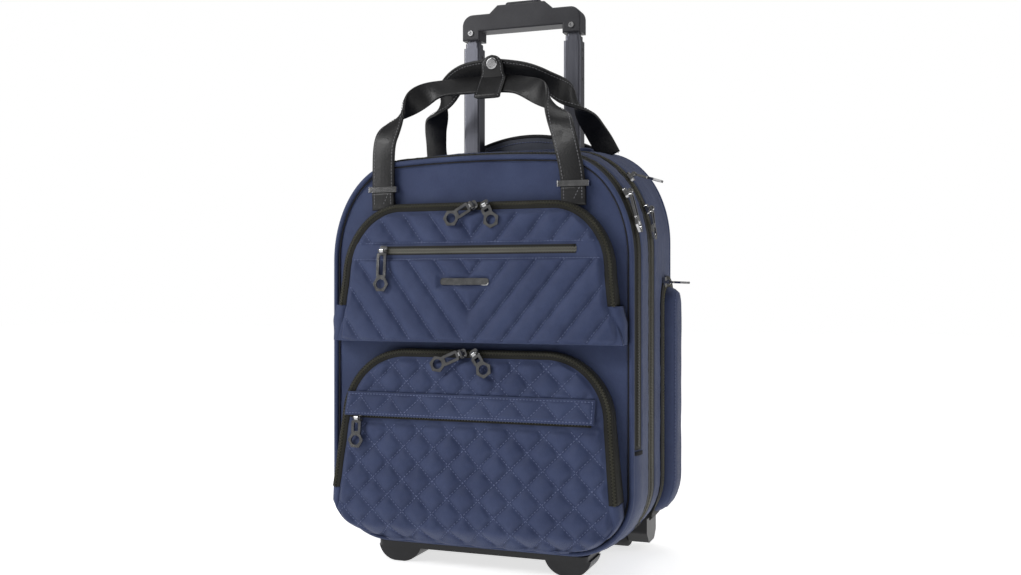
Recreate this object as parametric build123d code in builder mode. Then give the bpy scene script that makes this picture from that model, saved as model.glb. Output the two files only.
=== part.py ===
"""Rolling laptop case: a soft two-compartment case on wheels with a telescopic trolley handle.

Depth is measured backwards from the front panel, height upwards from the floor,
and x to the right from the case's middle plane, all in millimetres.
"""

import os
from math import atan2, cos, degrees, hypot, radians, sin

from build123d import *

os.makedirs("parts", exist_ok=True)

# ---- driving dimensions ----------------------------------------------------------------------

# Place of the case in the part's frame, whose origin is under the middle of the whole object.
CASE_X = -14.3
FRONT_Y = -79.1

# Soft case
HALF_WIDTH = 170.0
BOTTOM_Z = 23.0
CORNER_TOP_Z = 434.0  # where the top corner's arc ends, at the front
CROWN = 3.0
BOTTOM_RADIUS = 68.0
SHOULDER_X, SHOULDER_Y = 80.0, 108.0  # half axes of the elliptical top corners
BACK_EDGE = 163.0  # depth at which the rear edge starts to round off
BACK_DEPTH = 180.0
BACK_ROUNDING = 12.0
LINING_DEPTHS = (131.0, 133.4)
TOP_RISE = 20.0  # the top is this much higher at the rear edge than at the front
WALL = 3.0
PIPING, PIPING_INNER = 3.0, 4.0

# Laptop sleeve inside the front section
SLEEVE_DEPTHS, SLEEVE_Z, SLEEVE_WIDTH, SLEEVE_WALL = (20.0, 47.0), (34.0, 390.0), 284.0, 4.0

# Zips
SPLIT = 65.0  # depth of the main zip's teeth, where the front section parts from the back
SPLIT_GAP = 0.4
TAPE = 1.0  # how far a zip tape stands proud
FRONT_ZIP_DEPTHS = (3.0, 18.0)
FRONT_ZIP_END_Z = 131.0
MAIN_ZIP_DEPTHS = (50.0, 79.0)
MAIN_ZIP_END_Z = 47.0

# Pockets on the front panel
BAND = 9.0  # width of the zip band round a pocket
POCKET_WALL = 3.0
DOOR_GAP = 0.6
UPPER_SILL_Z, UPPER_TURN_Z, UPPER_TOP_Z, UPPER_SEAM_Z = 279.0, 310.0, 386.0, 240.0
UPPER_HALF_LOW, UPPER_HALF_HIGH, UPPER_CORNER_X, UPPER_SEAM_HALF = 154.0, 150.5, 66.0, 161.0
UPPER_OUT_TOP, UPPER_OUT_SILL, UPPER_OUT_SEAM = 10.0, 19.0, 23.0
LOWER_SILL_Z, LOWER_TURN_Z, LOWER_TOP_Z, LOWER_SEAM_Z = 84.0, 160.0, 232.0, 28.0
LOWER_HALF_LOW, LOWER_HALF_HIGH, LOWER_CORNER_X = 157.5, 150.0, 72.0
LOWER_OUT_TOP, LOWER_OUT_SILL, LOWER_OUT_SEAM = 10.0, 26.0, 24.0
SLIP_ZIP_Z, SLIP_ZIP_X = 335.5, (-105.0, 112.0)
FLAP_Z, FLAP_X, FLAP_THICK = (161.0, 185.0), (-146.0, 126.0), 2.4
FLAP_STAND_OFF, FLAP_ZIP_Z = 7.0, 157.5
PLATE_Z, PLATE_X, PLATE_SIZE, PLATE_THICK = 303.0, -7.0, (54.0, 8.0), 2.4

# Side pocket
SIDE_POCKET_DEPTHS = (121.0, 166.0)
SIDE_POCKET_Z = (47.0, 297.0)
SIDE_POCKET_OUT, SIDE_GAP = 15.5, 0.4

# Straps and handles
STRAP_X, STRAP_WIDTH, STRAP_THICK = 106.5, 26.0, 3.2
KEEPER_Z, KEEPER_WIDTH, KEEPER_HEIGHT = 402.0, 33.5, 6.0
STRAP_LIFT, WRAP_WIDTH, WRAP_THICK = 3.4, 28.0, 2.6
WRAP_TOP = (43.0, 549.0)
FRONT_FOLD_Z, FOLD_GAP = 409.0, 2.4
FRONT_HANDLE_SHOULDER_Z = 455.0
FRONT_HANDLE_APEX = (43.0, 516.0)
BACK_HANDLE_FOOT, ANCHOR_Z = (139.0, 459.0), 435.0
BACK_HANDLE_APEX = (58.0, 533.0)

# Trolley
TUBE_X, TUBE_DEPTH = 62.0, 147.0
COLLAR_Z, COLLAR_SIZE = (449.0, 462.0), (172.0, 34.0)
COVER_HALF, COVER_Z, COVER_DEPTHS = 85.0, (440.0, 456.0, 478.0), (171.0, 176.0)
OUTER_TUBE_Z = (26.0, 446.0)
STAGE_A_Z = (181.0, 581.0)
STAGE_B_Z = (196.0, 587.0)
STAGE_C_Z = (212.0, 590.0)
GRIP_HALF, GRIP_LEG, GRIP_DEPTH = 73.0, 22.0, 24.0
GRIP_UNDER_Z, GRIP_END_Z, GRIP_TOP_Z = 600.0, 620.0, 629.0
HUMP_HALF = 29.0
SCREW_Z, SCREW_RADIUS = 598.0, 3.2
BUTTON_TOP_Z, BUTTON_LENGTH, BUTTON_WIDTH, BUTTON_TRAVEL = 633.0, 44.0, 12.0, 3.0
STEM_RADIUS, ROD_RADIUS, ROD_END_Z = 2.6, 2.0, 480.0
BAR_Z, POCKET_FLOOR_Z = (607.0, 610.6), 614.2

# Running gear
WHEEL_RADIUS, WHEEL_WIDTH, WHEEL_X, AXLE_DEPTH = 25.0, 22.0, 114.0, 163.0
HUB_RADIUS, AXLE_RADIUS, AXLE_PLAY = 17.5, 4.0, 0.08
FOOT_X, FOOT_WIDTH, FOOT_DEPTHS = 95.0, 50.0, (12.0, 50.0)
TRAY_Z = (17.0, 22.9)

HOUSING_SIDE = 15.5  # from the wheel's middle to the housing's inner cheek
OUTER_TUBE, STAGE_A, STAGE_B, STAGE_C = (23.0, 20.6), (20.0, 17.4), (16.8, 14.2), (13.6, 11.4)
TUBE_HOLE = 20.8

# Zip sliders and pulls
SLIDER_LENGTH, SLIDER_WIDTH, SLIDER_BASE, POST_X = 11.0, 9.0, 3.0, 3.6
BAR_RADIUS, BAR_HEIGHT, BAR_PLAY = 1.0, 6.2, 0.35
EYE_RADIUS, EYE_LENGTH = 2.6, 4.0
PULL_THICK, TAB_WIDTH, RING_RADIUS = 2.4, 11.0, 9.0


# ---- planes ----------------------------------------------------------------------------------


def place(x, depth, z):
    """A point of the case in the part's frame."""
    return Vector(CASE_X + x, FRONT_Y + depth, z)


def front_plane(depth):
    """Parallel to the front panel: local x right, local y up, normal forwards."""
    return Plane(origin=place(0, depth, 0), x_dir=(1, 0, 0), z_dir=(0, -1, 0))


def side_plane(x):
    """Parallel to the right side: local x backwards, local y up, normal to the right."""
    return Plane(origin=place(x, 0, 0), x_dir=(0, 1, 0), z_dir=(1, 0, 0))


def level_plane(z):
    """Level: local x right, local y backwards."""
    return Plane(origin=place(0, 0, z))


def face_plane(low_z, low_out, high_z, high_out):
    """A sloping face over the front panel, through two heights and how far it stands out there."""
    rise, back = high_z - low_z, low_out - high_out
    return Plane(origin=place(0, -low_out, low_z), x_dir=(1, 0, 0), z_dir=(0, -rise, back))


def on_face(face, z):
    """Local y of height Z on a sloping face."""
    return (z - face.origin.Z) / face.y_dir.Z


def shifted(plane, x, y, lift, spin=0, tilt=0):
    """A plane at a point of another, lifted off it, spun about its normal or tilted about its local x."""
    return Plane(plane.location * Location((x, y, lift), (tilt, 0, spin)))


# ---- outlines --------------------------------------------------------------------------------


def case_outline(depth, inset=0.0):
    """The case's section: wide, with round bottom corners and long elliptical shoulders."""
    rise = TOP_RISE * depth / BACK_EDGE
    half, low = HALF_WIDTH - inset, BOTTOM_Z + inset
    flat = HALF_WIDTH - BOTTOM_RADIUS
    shoulder = HALF_WIDTH - SHOULDER_X
    shoulder_z = CORNER_TOP_Z - SHOULDER_Y + rise
    high = CORNER_TOP_Z + rise - inset
    radii = (SHOULDER_X - inset, SHOULDER_Y - inset)
    with BuildSketch(front_plane(depth)) as outline:
        with BuildLine():
            Line((-flat, low), (flat, low))
            CenterArc((flat, low - inset + BOTTOM_RADIUS), BOTTOM_RADIUS - inset, -90, 90)
            Line((half, BOTTOM_Z + BOTTOM_RADIUS), (half, shoulder_z))
            EllipticalCenterArc((shoulder, shoulder_z), *radii, start_angle=0, arc_size=90)
            ThreePointArc((shoulder, high), (0, high + CROWN), (-shoulder, high))
            EllipticalCenterArc((-shoulder, shoulder_z), *radii, start_angle=90, arc_size=90)
            Line((-half, shoulder_z), (-half, BOTTOM_Z + BOTTOM_RADIUS))
            CenterArc((-flat, low - inset + BOTTOM_RADIUS), BOTTOM_RADIUS - inset, 180, 90)
        make_face()
    return outline.sketch


def arch_outline(sill_z, turn_z, top_z, half_low, half_high, corner_x, inset=0.0, drop=0.0):
    """A pocket's zip line: leaning sides, elliptical corners and a level top, down to the sill."""
    high, top_half = top_z - inset, half_high - corner_x
    corner = (corner_x - inset, high - turn_z)
    lean = (half_low - half_high) / (turn_z - sill_z)
    half_low, sill_z = half_low + lean * drop, sill_z - drop
    with BuildSketch(front_plane(-DOOR_GAP)) as outline:
        with BuildLine():
            Line((-half_low + inset, sill_z), (half_low - inset, sill_z))
            Line((half_low - inset, sill_z), (half_high - inset, turn_z))
            EllipticalCenterArc((top_half, turn_z), *corner, start_angle=0, arc_size=90)
            Line((top_half, high), (-top_half, high))
            EllipticalCenterArc((-top_half, turn_z), *corner, start_angle=90, arc_size=90)
            Line((-half_high + inset, turn_z), (-half_low + inset, sill_z))
        make_face()
    return outline.sketch


def upper_arch(inset=0.0, drop=0.0):
    heights = (UPPER_SILL_Z, UPPER_TURN_Z, UPPER_TOP_Z)
    return arch_outline(*heights, UPPER_HALF_LOW, UPPER_HALF_HIGH, UPPER_CORNER_X, inset, drop)


def lower_arch(inset=0.0, drop=0.0):
    heights = (LOWER_SILL_Z, LOWER_TURN_Z, LOWER_TOP_Z)
    return arch_outline(*heights, LOWER_HALF_LOW, LOWER_HALF_HIGH, LOWER_CORNER_X, inset, drop)


# ---- solids shared by several pieces ---------------------------------------------------------


def case_block(near, far, inset=0.0):
    """The case's solid between two depths."""
    with BuildPart() as block:
        loft([case_outline(near, inset), case_outline(far, inset)])
    return block.part


def outward_block(outline, *faces):
    """An outline's prism in front of the panel, cut off by sloping faces."""
    with BuildPart() as block:
        extrude(outline, amount=40)
        for face in faces:
            split(bisect_by=face, keep=Keep.BOTTOM)
    return block.part


upper_face = face_plane(UPPER_SILL_Z, UPPER_OUT_SILL, UPPER_TOP_Z, UPPER_OUT_TOP)
upper_base_face = face_plane(UPPER_SEAM_Z, UPPER_OUT_SEAM, UPPER_SILL_Z, UPPER_OUT_SILL)
lower_face = face_plane(LOWER_SILL_Z, LOWER_OUT_SILL, LOWER_TOP_Z, LOWER_OUT_TOP)
lower_base_face = face_plane(LOWER_SEAM_Z, LOWER_OUT_SEAM, LOWER_SILL_Z, LOWER_OUT_SILL)
lower_hem_face = face_plane(LOWER_SEAM_Z - 1, 7, LOWER_SEAM_Z + 18, 26)


def arch_ring(arch, face, out_wall):
    """A shallow lid's shell behind a sloping face, open at the back and at the sill."""
    with BuildPart() as shell:
        add(outward_block(arch(BAND), face))
        add(outward_block(arch(BAND + out_wall, 1), face.offset(-out_wall)), mode=Mode.SUBTRACT)
    return shell.part


def zip_band(arch, face):
    """The zip along a pocket's edge, a band just behind the pocket's face."""
    with BuildPart() as band:
        add(outward_block(arch(), face.offset(-1)))
        add(outward_block(arch(BAND, 1)), mode=Mode.SUBTRACT)
    return band.part


def corner_plane(depth, angle):
    """On the right shoulder's skin: normal outwards, local y up along the skin."""
    shoulder_z = CORNER_TOP_Z - SHOULDER_Y + TOP_RISE * depth / BACK_EDGE
    turn = radians(angle)
    origin = place(HALF_WIDTH - SHOULDER_X + SHOULDER_X * cos(turn), depth, shoulder_z + SHOULDER_Y * sin(turn))
    return Plane(origin=origin, x_dir=(0, 1, 0), z_dir=(cos(turn) / SHOULDER_X, 0, sin(turn) / SHOULDER_Y))


def bar_plane(plane, x):
    """Square to a slider's bar, X along it."""
    return Plane(
        origin=plane.from_local_coords((x, 0, BAR_HEIGHT)), x_dir=plane.y_dir, z_dir=plane.x_dir
    )


def slider(plane):
    """A zip slider: a rounded body with two posts that hold the bar its pull hangs on."""
    with BuildPart() as body:
        with BuildSketch(plane):
            RectangleRounded(SLIDER_WIDTH, SLIDER_LENGTH, 2.5)
        extrude(amount=SLIDER_BASE)
        with BuildSketch(plane):
            with Locations((-POST_X, 0), (POST_X, 0)):
                Rectangle(1.6, 3)
        extrude(amount=BAR_HEIGHT + 1.2)
        with BuildSketch(bar_plane(plane, -POST_X)):
            Circle(BAR_RADIUS)
        extrude(amount=2 * POST_X)
    return body.part


def pull(plane, swing, tab_length):
    """A pull: an eye round the slider's bar, a slotted tab and a six-sided ring, swung off the fabric."""
    hang = shifted(plane, 0, 0, BAR_HEIGHT, tilt=-swing)
    flat = hang.offset(-PULL_THICK / 2)
    ring_y = -EYE_RADIUS - tab_length - RING_RADIUS + 2
    with BuildPart() as part:
        with BuildSketch(flat):
            with Locations((0, -EYE_RADIUS - 0.5)):
                Rectangle(EYE_LENGTH, 4)
            with Locations((0, -EYE_RADIUS - tab_length / 2)):
                RectangleRounded(TAB_WIDTH, tab_length, 2)
                Rectangle(TAB_WIDTH - 6, tab_length - 5, mode=Mode.SUBTRACT)
            with Locations((0, ring_y)):
                RegularPolygon(RING_RADIUS, 6)
                Circle(RING_RADIUS - 4, mode=Mode.SUBTRACT)
        extrude(amount=PULL_THICK)
        with BuildSketch(bar_plane(plane, -EYE_LENGTH / 2)):
            Circle(EYE_RADIUS)
        extrude(amount=EYE_LENGTH)
        with BuildSketch(bar_plane(plane, -EYE_LENGTH / 2)):
            Circle(BAR_RADIUS + BAR_PLAY)
        extrude(amount=EYE_LENGTH, mode=Mode.SUBTRACT)
    return part.part


def tube_pair(z_range, outer, inner):
    """Two square tubes, left and right."""
    with BuildPart() as tubes:
        with BuildSketch(level_plane(z_range[0])):
            with Locations((-TUBE_X, TUBE_DEPTH), (TUBE_X, TUBE_DEPTH)):
                RectangleRounded(outer, outer, 2.4)
                RectangleRounded(inner, inner, 1.2, mode=Mode.SUBTRACT)
        extrude(amount=z_range[1] - z_range[0])
    return tubes.part


def handle_arch(foot, apex):
    """A band in a leaning plane that arches from one strap to the other: foot and apex as (depth, z)."""
    back, rise = apex[0] - foot[0], apex[1] - foot[1]
    reach = hypot(back, rise)
    lean = Plane(origin=place(0, *foot), x_dir=(1, 0, 0), z_dir=(0, -rise, back))
    with BuildPart() as band:
        with BuildSketch(lean.offset(-STRAP_THICK / 2)):
            for half, height, mode in (
                (STRAP_X + STRAP_WIDTH / 2, reach + STRAP_WIDTH / 2, Mode.ADD),
                (STRAP_X - STRAP_WIDTH / 2, reach - STRAP_WIDTH / 2, Mode.SUBTRACT),
            ):
                Ellipse(half, height, mode=mode)
            with Locations((0, -reach)):
                Rectangle(4 * STRAP_X, 2 * reach, mode=Mode.SUBTRACT)
        extrude(amount=STRAP_THICK)
    return band.part


def finish(part, name):
    """Label a finished piece and write it out."""
    part.label = name
    export_step(part, f"parts/{name}.step")


# ---- back section: the main compartment ------------------------------------------------------

with BuildPart() as wheel_well:
    with BuildSketch(side_plane(WHEEL_X - HOUSING_SIDE)):
        with BuildLine():
            Polyline((138, 21), (150, 8), (176, 8), (185, 17), (185, 46), (177, 56), (138, 56), close=True)
        housing_profile = make_face()
        fillet(housing_profile.vertices(), 4)
    extrude(amount=51)

with BuildPart() as wheel_housings:
    add(case_block(140, 182, -4))
    add(case_block(139, 183), mode=Mode.SUBTRACT)
    split(bisect_by=level_plane(62), keep=Keep.BOTTOM)
    split(bisect_by=side_plane(WHEEL_X - HOUSING_SIDE), keep=Keep.TOP)
    add(wheel_well.part)
    with BuildSketch(side_plane(WHEEL_X - WHEEL_WIDTH / 2 - 1)):
        with Locations((AXLE_DEPTH, WHEEL_RADIUS)):
            Circle(WHEEL_RADIUS + 3)
        with Locations((AXLE_DEPTH, 0)):
            Rectangle(2 * WHEEL_RADIUS + 6, 2 * WHEEL_RADIUS)
    extrude(amount=WHEEL_WIDTH + 2, mode=Mode.SUBTRACT)
    with BuildSketch(side_plane(WHEEL_X - HOUSING_SIDE)):
        with Locations((AXLE_DEPTH, WHEEL_RADIUS)):
            Circle(AXLE_RADIUS)
    extrude(amount=40, mode=Mode.SUBTRACT)
    mirror(about=side_plane(0))

with BuildPart() as back_rounding:
    loft([case_outline(BACK_EDGE), case_outline(BACK_DEPTH, BACK_ROUNDING)])

with BuildPart() as back_shell:
    add(case_block(SPLIT + SPLIT_GAP / 2, BACK_EDGE))
    add(back_rounding.part)
    add(case_block(SPLIT, BACK_EDGE, WALL), mode=Mode.SUBTRACT)
    loft(
        [case_outline(BACK_EDGE, WALL), case_outline(BACK_DEPTH - WALL, BACK_ROUNDING + WALL)],
        mode=Mode.SUBTRACT,
    )
    add(wheel_well.part, mode=Mode.SUBTRACT)
    add(wheel_well.part.mirror(side_plane(0)), mode=Mode.SUBTRACT)
    with BuildSketch(level_plane(OUTER_TUBE_Z[1])):
        with Locations((-TUBE_X, TUBE_DEPTH), (TUBE_X, TUBE_DEPTH)):
            Rectangle(TUBE_HOLE, TUBE_HOLE)
    extrude(amount=20, mode=Mode.SUBTRACT)
finish(back_shell.part, "back_shell")
finish(wheel_housings.part, "wheel_housings")

with BuildPart() as lining_panel:
    add(case_block(*LINING_DEPTHS, WALL))
finish(lining_panel.part, "lining_panel")

with BuildPart() as base_tray:
    with BuildSketch(level_plane(TRAY_Z[0])):
        with Locations((0, 70)):
            RectangleRounded(2 * (FOOT_X + FOOT_WIDTH / 2) - 4, 132, 8)
        with Locations((0, 150)):
            Rectangle(2 * (WHEEL_X - HOUSING_SIDE), 56)
    extrude(amount=TRAY_Z[1] - TRAY_Z[0])
finish(base_tray.part, "base_tray")

with BuildPart() as feet:
    with BuildSketch(front_plane(FOOT_DEPTHS[0])):
        with BuildLine():
            inner_top = (FOOT_X - FOOT_WIDTH / 2, TRAY_Z[0])
            outer_top = (FOOT_X + FOOT_WIDTH / 2, TRAY_Z[0])
            Line((FOOT_X - 5, 0), (FOOT_X + 5, 0))
            ThreePointArc((FOOT_X + 5, 0), (FOOT_X + 18, 5), outer_top)
            Line(outer_top, inner_top)
            ThreePointArc(inner_top, (FOOT_X - 17, 5), (FOOT_X - 5, 0))
        make_face()
    extrude(amount=FOOT_DEPTHS[0] - FOOT_DEPTHS[1])
    mirror(about=side_plane(0))
finish(feet.part, "feet")

with BuildPart() as axles:
    with BuildSketch(side_plane(WHEEL_X - HOUSING_SIDE)):
        with Locations((AXLE_DEPTH, WHEEL_RADIUS)):
            Circle(AXLE_RADIUS)
    extrude(amount=38)
    mirror(about=side_plane(0))
finish(axles.part, "axles")

finish(tube_pair(OUTER_TUBE_Z, *OUTER_TUBE), "outer_tubes")

with BuildPart() as collar_plate:
    with BuildSketch(level_plane(COLLAR_Z[0])):
        with Locations((0, TUBE_DEPTH)):
            RectangleRounded(*COLLAR_SIZE, 6)
        with Locations((-TUBE_X, TUBE_DEPTH), (TUBE_X, TUBE_DEPTH)):
            Rectangle(TUBE_HOLE, TUBE_HOLE, mode=Mode.SUBTRACT)
    extrude(amount=COLLAR_Z[1] - COLLAR_Z[0])
    add(case_block(120, BACK_EDGE), mode=Mode.SUBTRACT)
    add(back_rounding.part, mode=Mode.SUBTRACT)
finish(collar_plate.part, "collar_plate")

cover_low, cover_side, cover_top = COVER_Z

with BuildPart() as handle_cover:
    with BuildSketch(front_plane(COVER_DEPTHS[0])):
        with BuildLine():
            Line((-COVER_HALF, cover_low), (COVER_HALF, cover_low))
            Line((COVER_HALF, cover_low), (COVER_HALF, cover_side))
            ThreePointArc((COVER_HALF, cover_side), (0, cover_top), (-COVER_HALF, cover_side))
            Line((-COVER_HALF, cover_side), (-COVER_HALF, cover_low))
        make_face()
    extrude(amount=COVER_DEPTHS[0] - COVER_DEPTHS[1])
    add(back_rounding.part, mode=Mode.SUBTRACT)
finish(handle_cover.part, "handle_cover")

with BuildPart() as back_handle_anchors:
    with BuildSketch(level_plane(ANCHOR_Z)):
        with Locations((-STRAP_X, BACK_HANDLE_FOOT[0]), (STRAP_X, BACK_HANDLE_FOOT[0])):
            Rectangle(STRAP_WIDTH, STRAP_THICK)
    extrude(amount=BACK_HANDLE_FOOT[1] - FOLD_GAP - ANCHOR_Z)
    add(case_block(120, BACK_EDGE), mode=Mode.SUBTRACT)
finish(back_handle_anchors.part, "back_handle_anchors")

# ---- side pocket, hinged along its rear edge --------------------------------------------------

pocket_height = SIDE_POCKET_Z[1] - SIDE_POCKET_Z[0]
pocket_width = SIDE_POCKET_DEPTHS[1] - SIDE_POCKET_DEPTHS[0]
pocket_middle = (sum(SIDE_POCKET_DEPTHS) / 2, sum(SIDE_POCKET_Z) / 2)

with BuildPart() as side_pocket:
    with BuildSketch(side_plane(HALF_WIDTH + SIDE_GAP)):
        with Locations(pocket_middle):
            RectangleRounded(pocket_width, pocket_height, 20)
    extrude(amount=SIDE_POCKET_OUT)
    with BuildSketch(side_plane(HALF_WIDTH)):
        with Locations(pocket_middle):
            RectangleRounded(pocket_width - 2 * WALL, pocket_height - 2 * WALL, 17)
    extrude(amount=SIDE_POCKET_OUT - WALL, mode=Mode.SUBTRACT)
finish(side_pocket.part, "side_pocket")

with BuildPart() as case_zip_tapes:
    add(case_block(SPLIT + SPLIT_GAP / 2, MAIN_ZIP_DEPTHS[1], -TAPE))
    add(case_block(SPLIT - 1, MAIN_ZIP_DEPTHS[1] + 1), mode=Mode.SUBTRACT)
    split(bisect_by=level_plane(MAIN_ZIP_END_Z), keep=Keep.TOP)
    with BuildSketch(side_plane(HALF_WIDTH)):
        with Locations(pocket_middle):
            RectangleRounded(pocket_width + 22, pocket_height + 22, 30)
            RectangleRounded(pocket_width + 1, pocket_height + 1, 20, mode=Mode.SUBTRACT)
        with Locations((pocket_middle[0], 0)):
            Rectangle(200, 2 * SIDE_POCKET_Z[0], mode=Mode.SUBTRACT)
        with Locations((SIDE_POCKET_DEPTHS[1] + 45, 200)):
            Rectangle(100, 600, mode=Mode.SUBTRACT)
    extrude(amount=TAPE)
finish(case_zip_tapes.part, "case_zip_tapes")

# ---- front section: the laptop compartment ----------------------------------------------------

front_end = SPLIT - SPLIT_GAP / 2

with BuildPart() as front_frame:
    add(case_block(0, front_end))
    add(case_block(-1, front_end + 1, WALL), mode=Mode.SUBTRACT)
finish(front_frame.part, "front_frame")

with BuildPart() as front_panel:
    add(case_block(0, WALL, WALL))
finish(front_panel.part, "front_panel")

with BuildPart() as divider_panel:
    add(case_block(front_end - WALL, front_end, WALL))
finish(divider_panel.part, "divider_panel")

with BuildPart() as front_piping:
    add(case_block(-PIPING, 0, -2))
    add(case_block(-PIPING - 1, 1, PIPING_INNER), mode=Mode.SUBTRACT)
finish(front_piping.part, "front_piping")

sleeve_height, sleeve_inner = SLEEVE_Z[1] - SLEEVE_Z[0], SLEEVE_WIDTH - 2 * SLEEVE_WALL
sleeve_depth = SLEEVE_DEPTHS[1] - SLEEVE_DEPTHS[0]

with BuildPart() as laptop_sleeve:
    with BuildSketch(front_plane(SLEEVE_DEPTHS[0])):
        with Locations((0, sum(SLEEVE_Z) / 2)):
            RectangleRounded(SLEEVE_WIDTH, sleeve_height, 20)
    extrude(amount=-sleeve_depth)
    with BuildSketch(front_plane(SLEEVE_DEPTHS[0] + WALL)):
        with Locations((0, sum(SLEEVE_Z) / 2 + SLEEVE_WALL)):
            RectangleRounded(sleeve_inner, sleeve_height, 16)
        with Locations((0, SLEEVE_Z[1])):
            Rectangle(sleeve_inner, 40)
    extrude(amount=SLEEVE_WALL + WALL - sleeve_depth, mode=Mode.SUBTRACT)
finish(laptop_sleeve.part, "laptop_sleeve")

with BuildPart() as laptop_zip_tape:
    add(case_block(*FRONT_ZIP_DEPTHS, -TAPE))
    split(bisect_by=level_plane(FRONT_ZIP_END_Z), keep=Keep.TOP)

with BuildPart() as front_zip_tapes:
    add(case_block(MAIN_ZIP_DEPTHS[0], front_end, -TAPE))
    split(bisect_by=level_plane(MAIN_ZIP_END_Z), keep=Keep.TOP)
    add(laptop_zip_tape.part)
    add(case_block(-1, SPLIT + 1), mode=Mode.SUBTRACT)
finish(front_zip_tapes.part, "front_zip_tapes")

strap_depth = -STRAP_THICK / 2 - STRAP_LIFT

tail_thick = STRAP_THICK + STRAP_LIFT

with BuildPart() as handle_tails:
    with BuildSketch(level_plane(UPPER_TOP_Z + 1)):
        with Locations((-STRAP_X, -tail_thick / 2), (STRAP_X, -tail_thick / 2)):
            Rectangle(STRAP_WIDTH, tail_thick)
    extrude(amount=FRONT_FOLD_Z - FOLD_GAP - UPPER_TOP_Z - 1)
finish(handle_tails.part, "handle_tails")

with BuildPart() as handle_keepers:
    with BuildSketch(level_plane(KEEPER_Z - KEEPER_HEIGHT / 2)):
        with Locations((-STRAP_X, -tail_thick / 2 - 1), (STRAP_X, -tail_thick / 2 - 1)):
            RectangleRounded(KEEPER_WIDTH, tail_thick + 2, 1.2)
        with Locations((-STRAP_X, -tail_thick / 2), (STRAP_X, -tail_thick / 2)):
            Rectangle(STRAP_WIDTH + 0.4, tail_thick + 0.4, mode=Mode.SUBTRACT)
    extrude(amount=KEEPER_HEIGHT)
finish(handle_keepers.part, "handle_keepers")

# ---- upper pocket ----------------------------------------------------------------------------

with BuildPart() as upper_pocket_panel:
    add(arch_ring(upper_arch, upper_face, POCKET_WALL))
finish(upper_pocket_panel.part, "upper_pocket_panel")

with BuildPart() as upper_pocket_zips:
    add(zip_band(upper_arch, upper_face))
    with BuildSketch(upper_face):
        with Locations((sum(SLIP_ZIP_X) / 2, on_face(upper_face, SLIP_ZIP_Z))):
            Rectangle(SLIP_ZIP_X[1] - SLIP_ZIP_X[0], BAND)
    extrude(amount=TAPE)
finish(upper_pocket_zips.part, "upper_pocket_zips")

with BuildPart() as name_plate:
    with BuildSketch(upper_face):
        with Locations((PLATE_X, on_face(upper_face, PLATE_Z))):
            RectangleRounded(*PLATE_SIZE, 3)
    extrude(amount=PLATE_THICK)
    chamfer(name_plate.faces().sort_by(Axis.Y)[0].edges(), 0.6)
finish(name_plate.part, "name_plate")

with BuildPart() as upper_pocket_base:
    with BuildSketch(front_plane(0)):
        with BuildLine():
            Polyline(
                (-UPPER_HALF_LOW, UPPER_SILL_Z - DOOR_GAP),
                (-UPPER_SEAM_HALF, UPPER_SEAM_Z),
                (UPPER_SEAM_HALF, UPPER_SEAM_Z),
                (UPPER_HALF_LOW, UPPER_SILL_Z - DOOR_GAP),
                close=True,
            )
        base_outline = make_face()
    extrude(amount=40)
    split(bisect_by=upper_base_face, keep=Keep.BOTTOM)
    with BuildSketch(front_plane(0)):
        with Locations((0, UPPER_SILL_Z + POCKET_WALL)):
            Rectangle(2 * UPPER_HALF_LOW - 10, 2 * (UPPER_SILL_Z - UPPER_SEAM_Z))
    extrude(amount=UPPER_OUT_SILL - POCKET_WALL, mode=Mode.SUBTRACT)
finish(upper_pocket_base.part, "upper_pocket_base")

# ---- lower pocket ----------------------------------------------------------------------------

with BuildPart() as lower_pocket_panel:
    add(arch_ring(lower_arch, lower_face, POCKET_WALL))
finish(lower_pocket_panel.part, "lower_pocket_panel")

with BuildPart() as lower_pocket_zips:
    add(zip_band(lower_arch, lower_face))
    with BuildSketch(lower_face):
        with Locations((sum(FLAP_X) / 2, on_face(lower_face, FLAP_ZIP_Z))):
            Rectangle(FLAP_X[1] - FLAP_X[0] - 8, BAND + 3)
    extrude(amount=TAPE)
finish(lower_pocket_zips.part, "lower_pocket_zips")

with BuildPart() as lower_pocket_base:
    extrude(case_outline(0, PIPING_INNER + DOOR_GAP), amount=40)
    split(bisect_by=level_plane(LOWER_SILL_Z - DOOR_GAP), keep=Keep.BOTTOM)
    split(bisect_by=lower_base_face, keep=Keep.BOTTOM)
    split(bisect_by=lower_hem_face, keep=Keep.BOTTOM)
    with BuildSketch(front_plane(0)):
        with Locations((0, LOWER_SILL_Z + 4)):
            RectangleRounded(300, 100, 24)
    extrude(amount=LOWER_OUT_SILL - 2 * POCKET_WALL, mode=Mode.SUBTRACT)
finish(lower_pocket_base.part, "lower_pocket_base")

flap_slope = degrees(atan2(FLAP_STAND_OFF, FLAP_Z[1] - FLAP_Z[0]))
flap_hinge = shifted(lower_face, 0, on_face(lower_face, FLAP_Z[1]), DOOR_GAP, 0)
flap_under = shifted(flap_hinge, 0, 0, 0, tilt=-flap_slope)
with BuildPart() as pocket_flap:
    with BuildSketch(flap_under):
        with Locations((sum(FLAP_X) / 2, -(FLAP_Z[1] - FLAP_Z[0]) / 2)):
            RectangleRounded(FLAP_X[1] - FLAP_X[0], FLAP_Z[1] - FLAP_Z[0], 3)
    extrude(amount=FLAP_THICK)
finish(pocket_flap.part, "pocket_flap")

# ---- zip sliders and their pulls --------------------------------------------------------------

upper_zip_y = on_face(upper_face, UPPER_TOP_Z) - BAND / 2
lower_zip_y = on_face(lower_face, LOWER_TOP_Z) - BAND / 2
slider_lift = TAPE + 1.2

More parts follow.
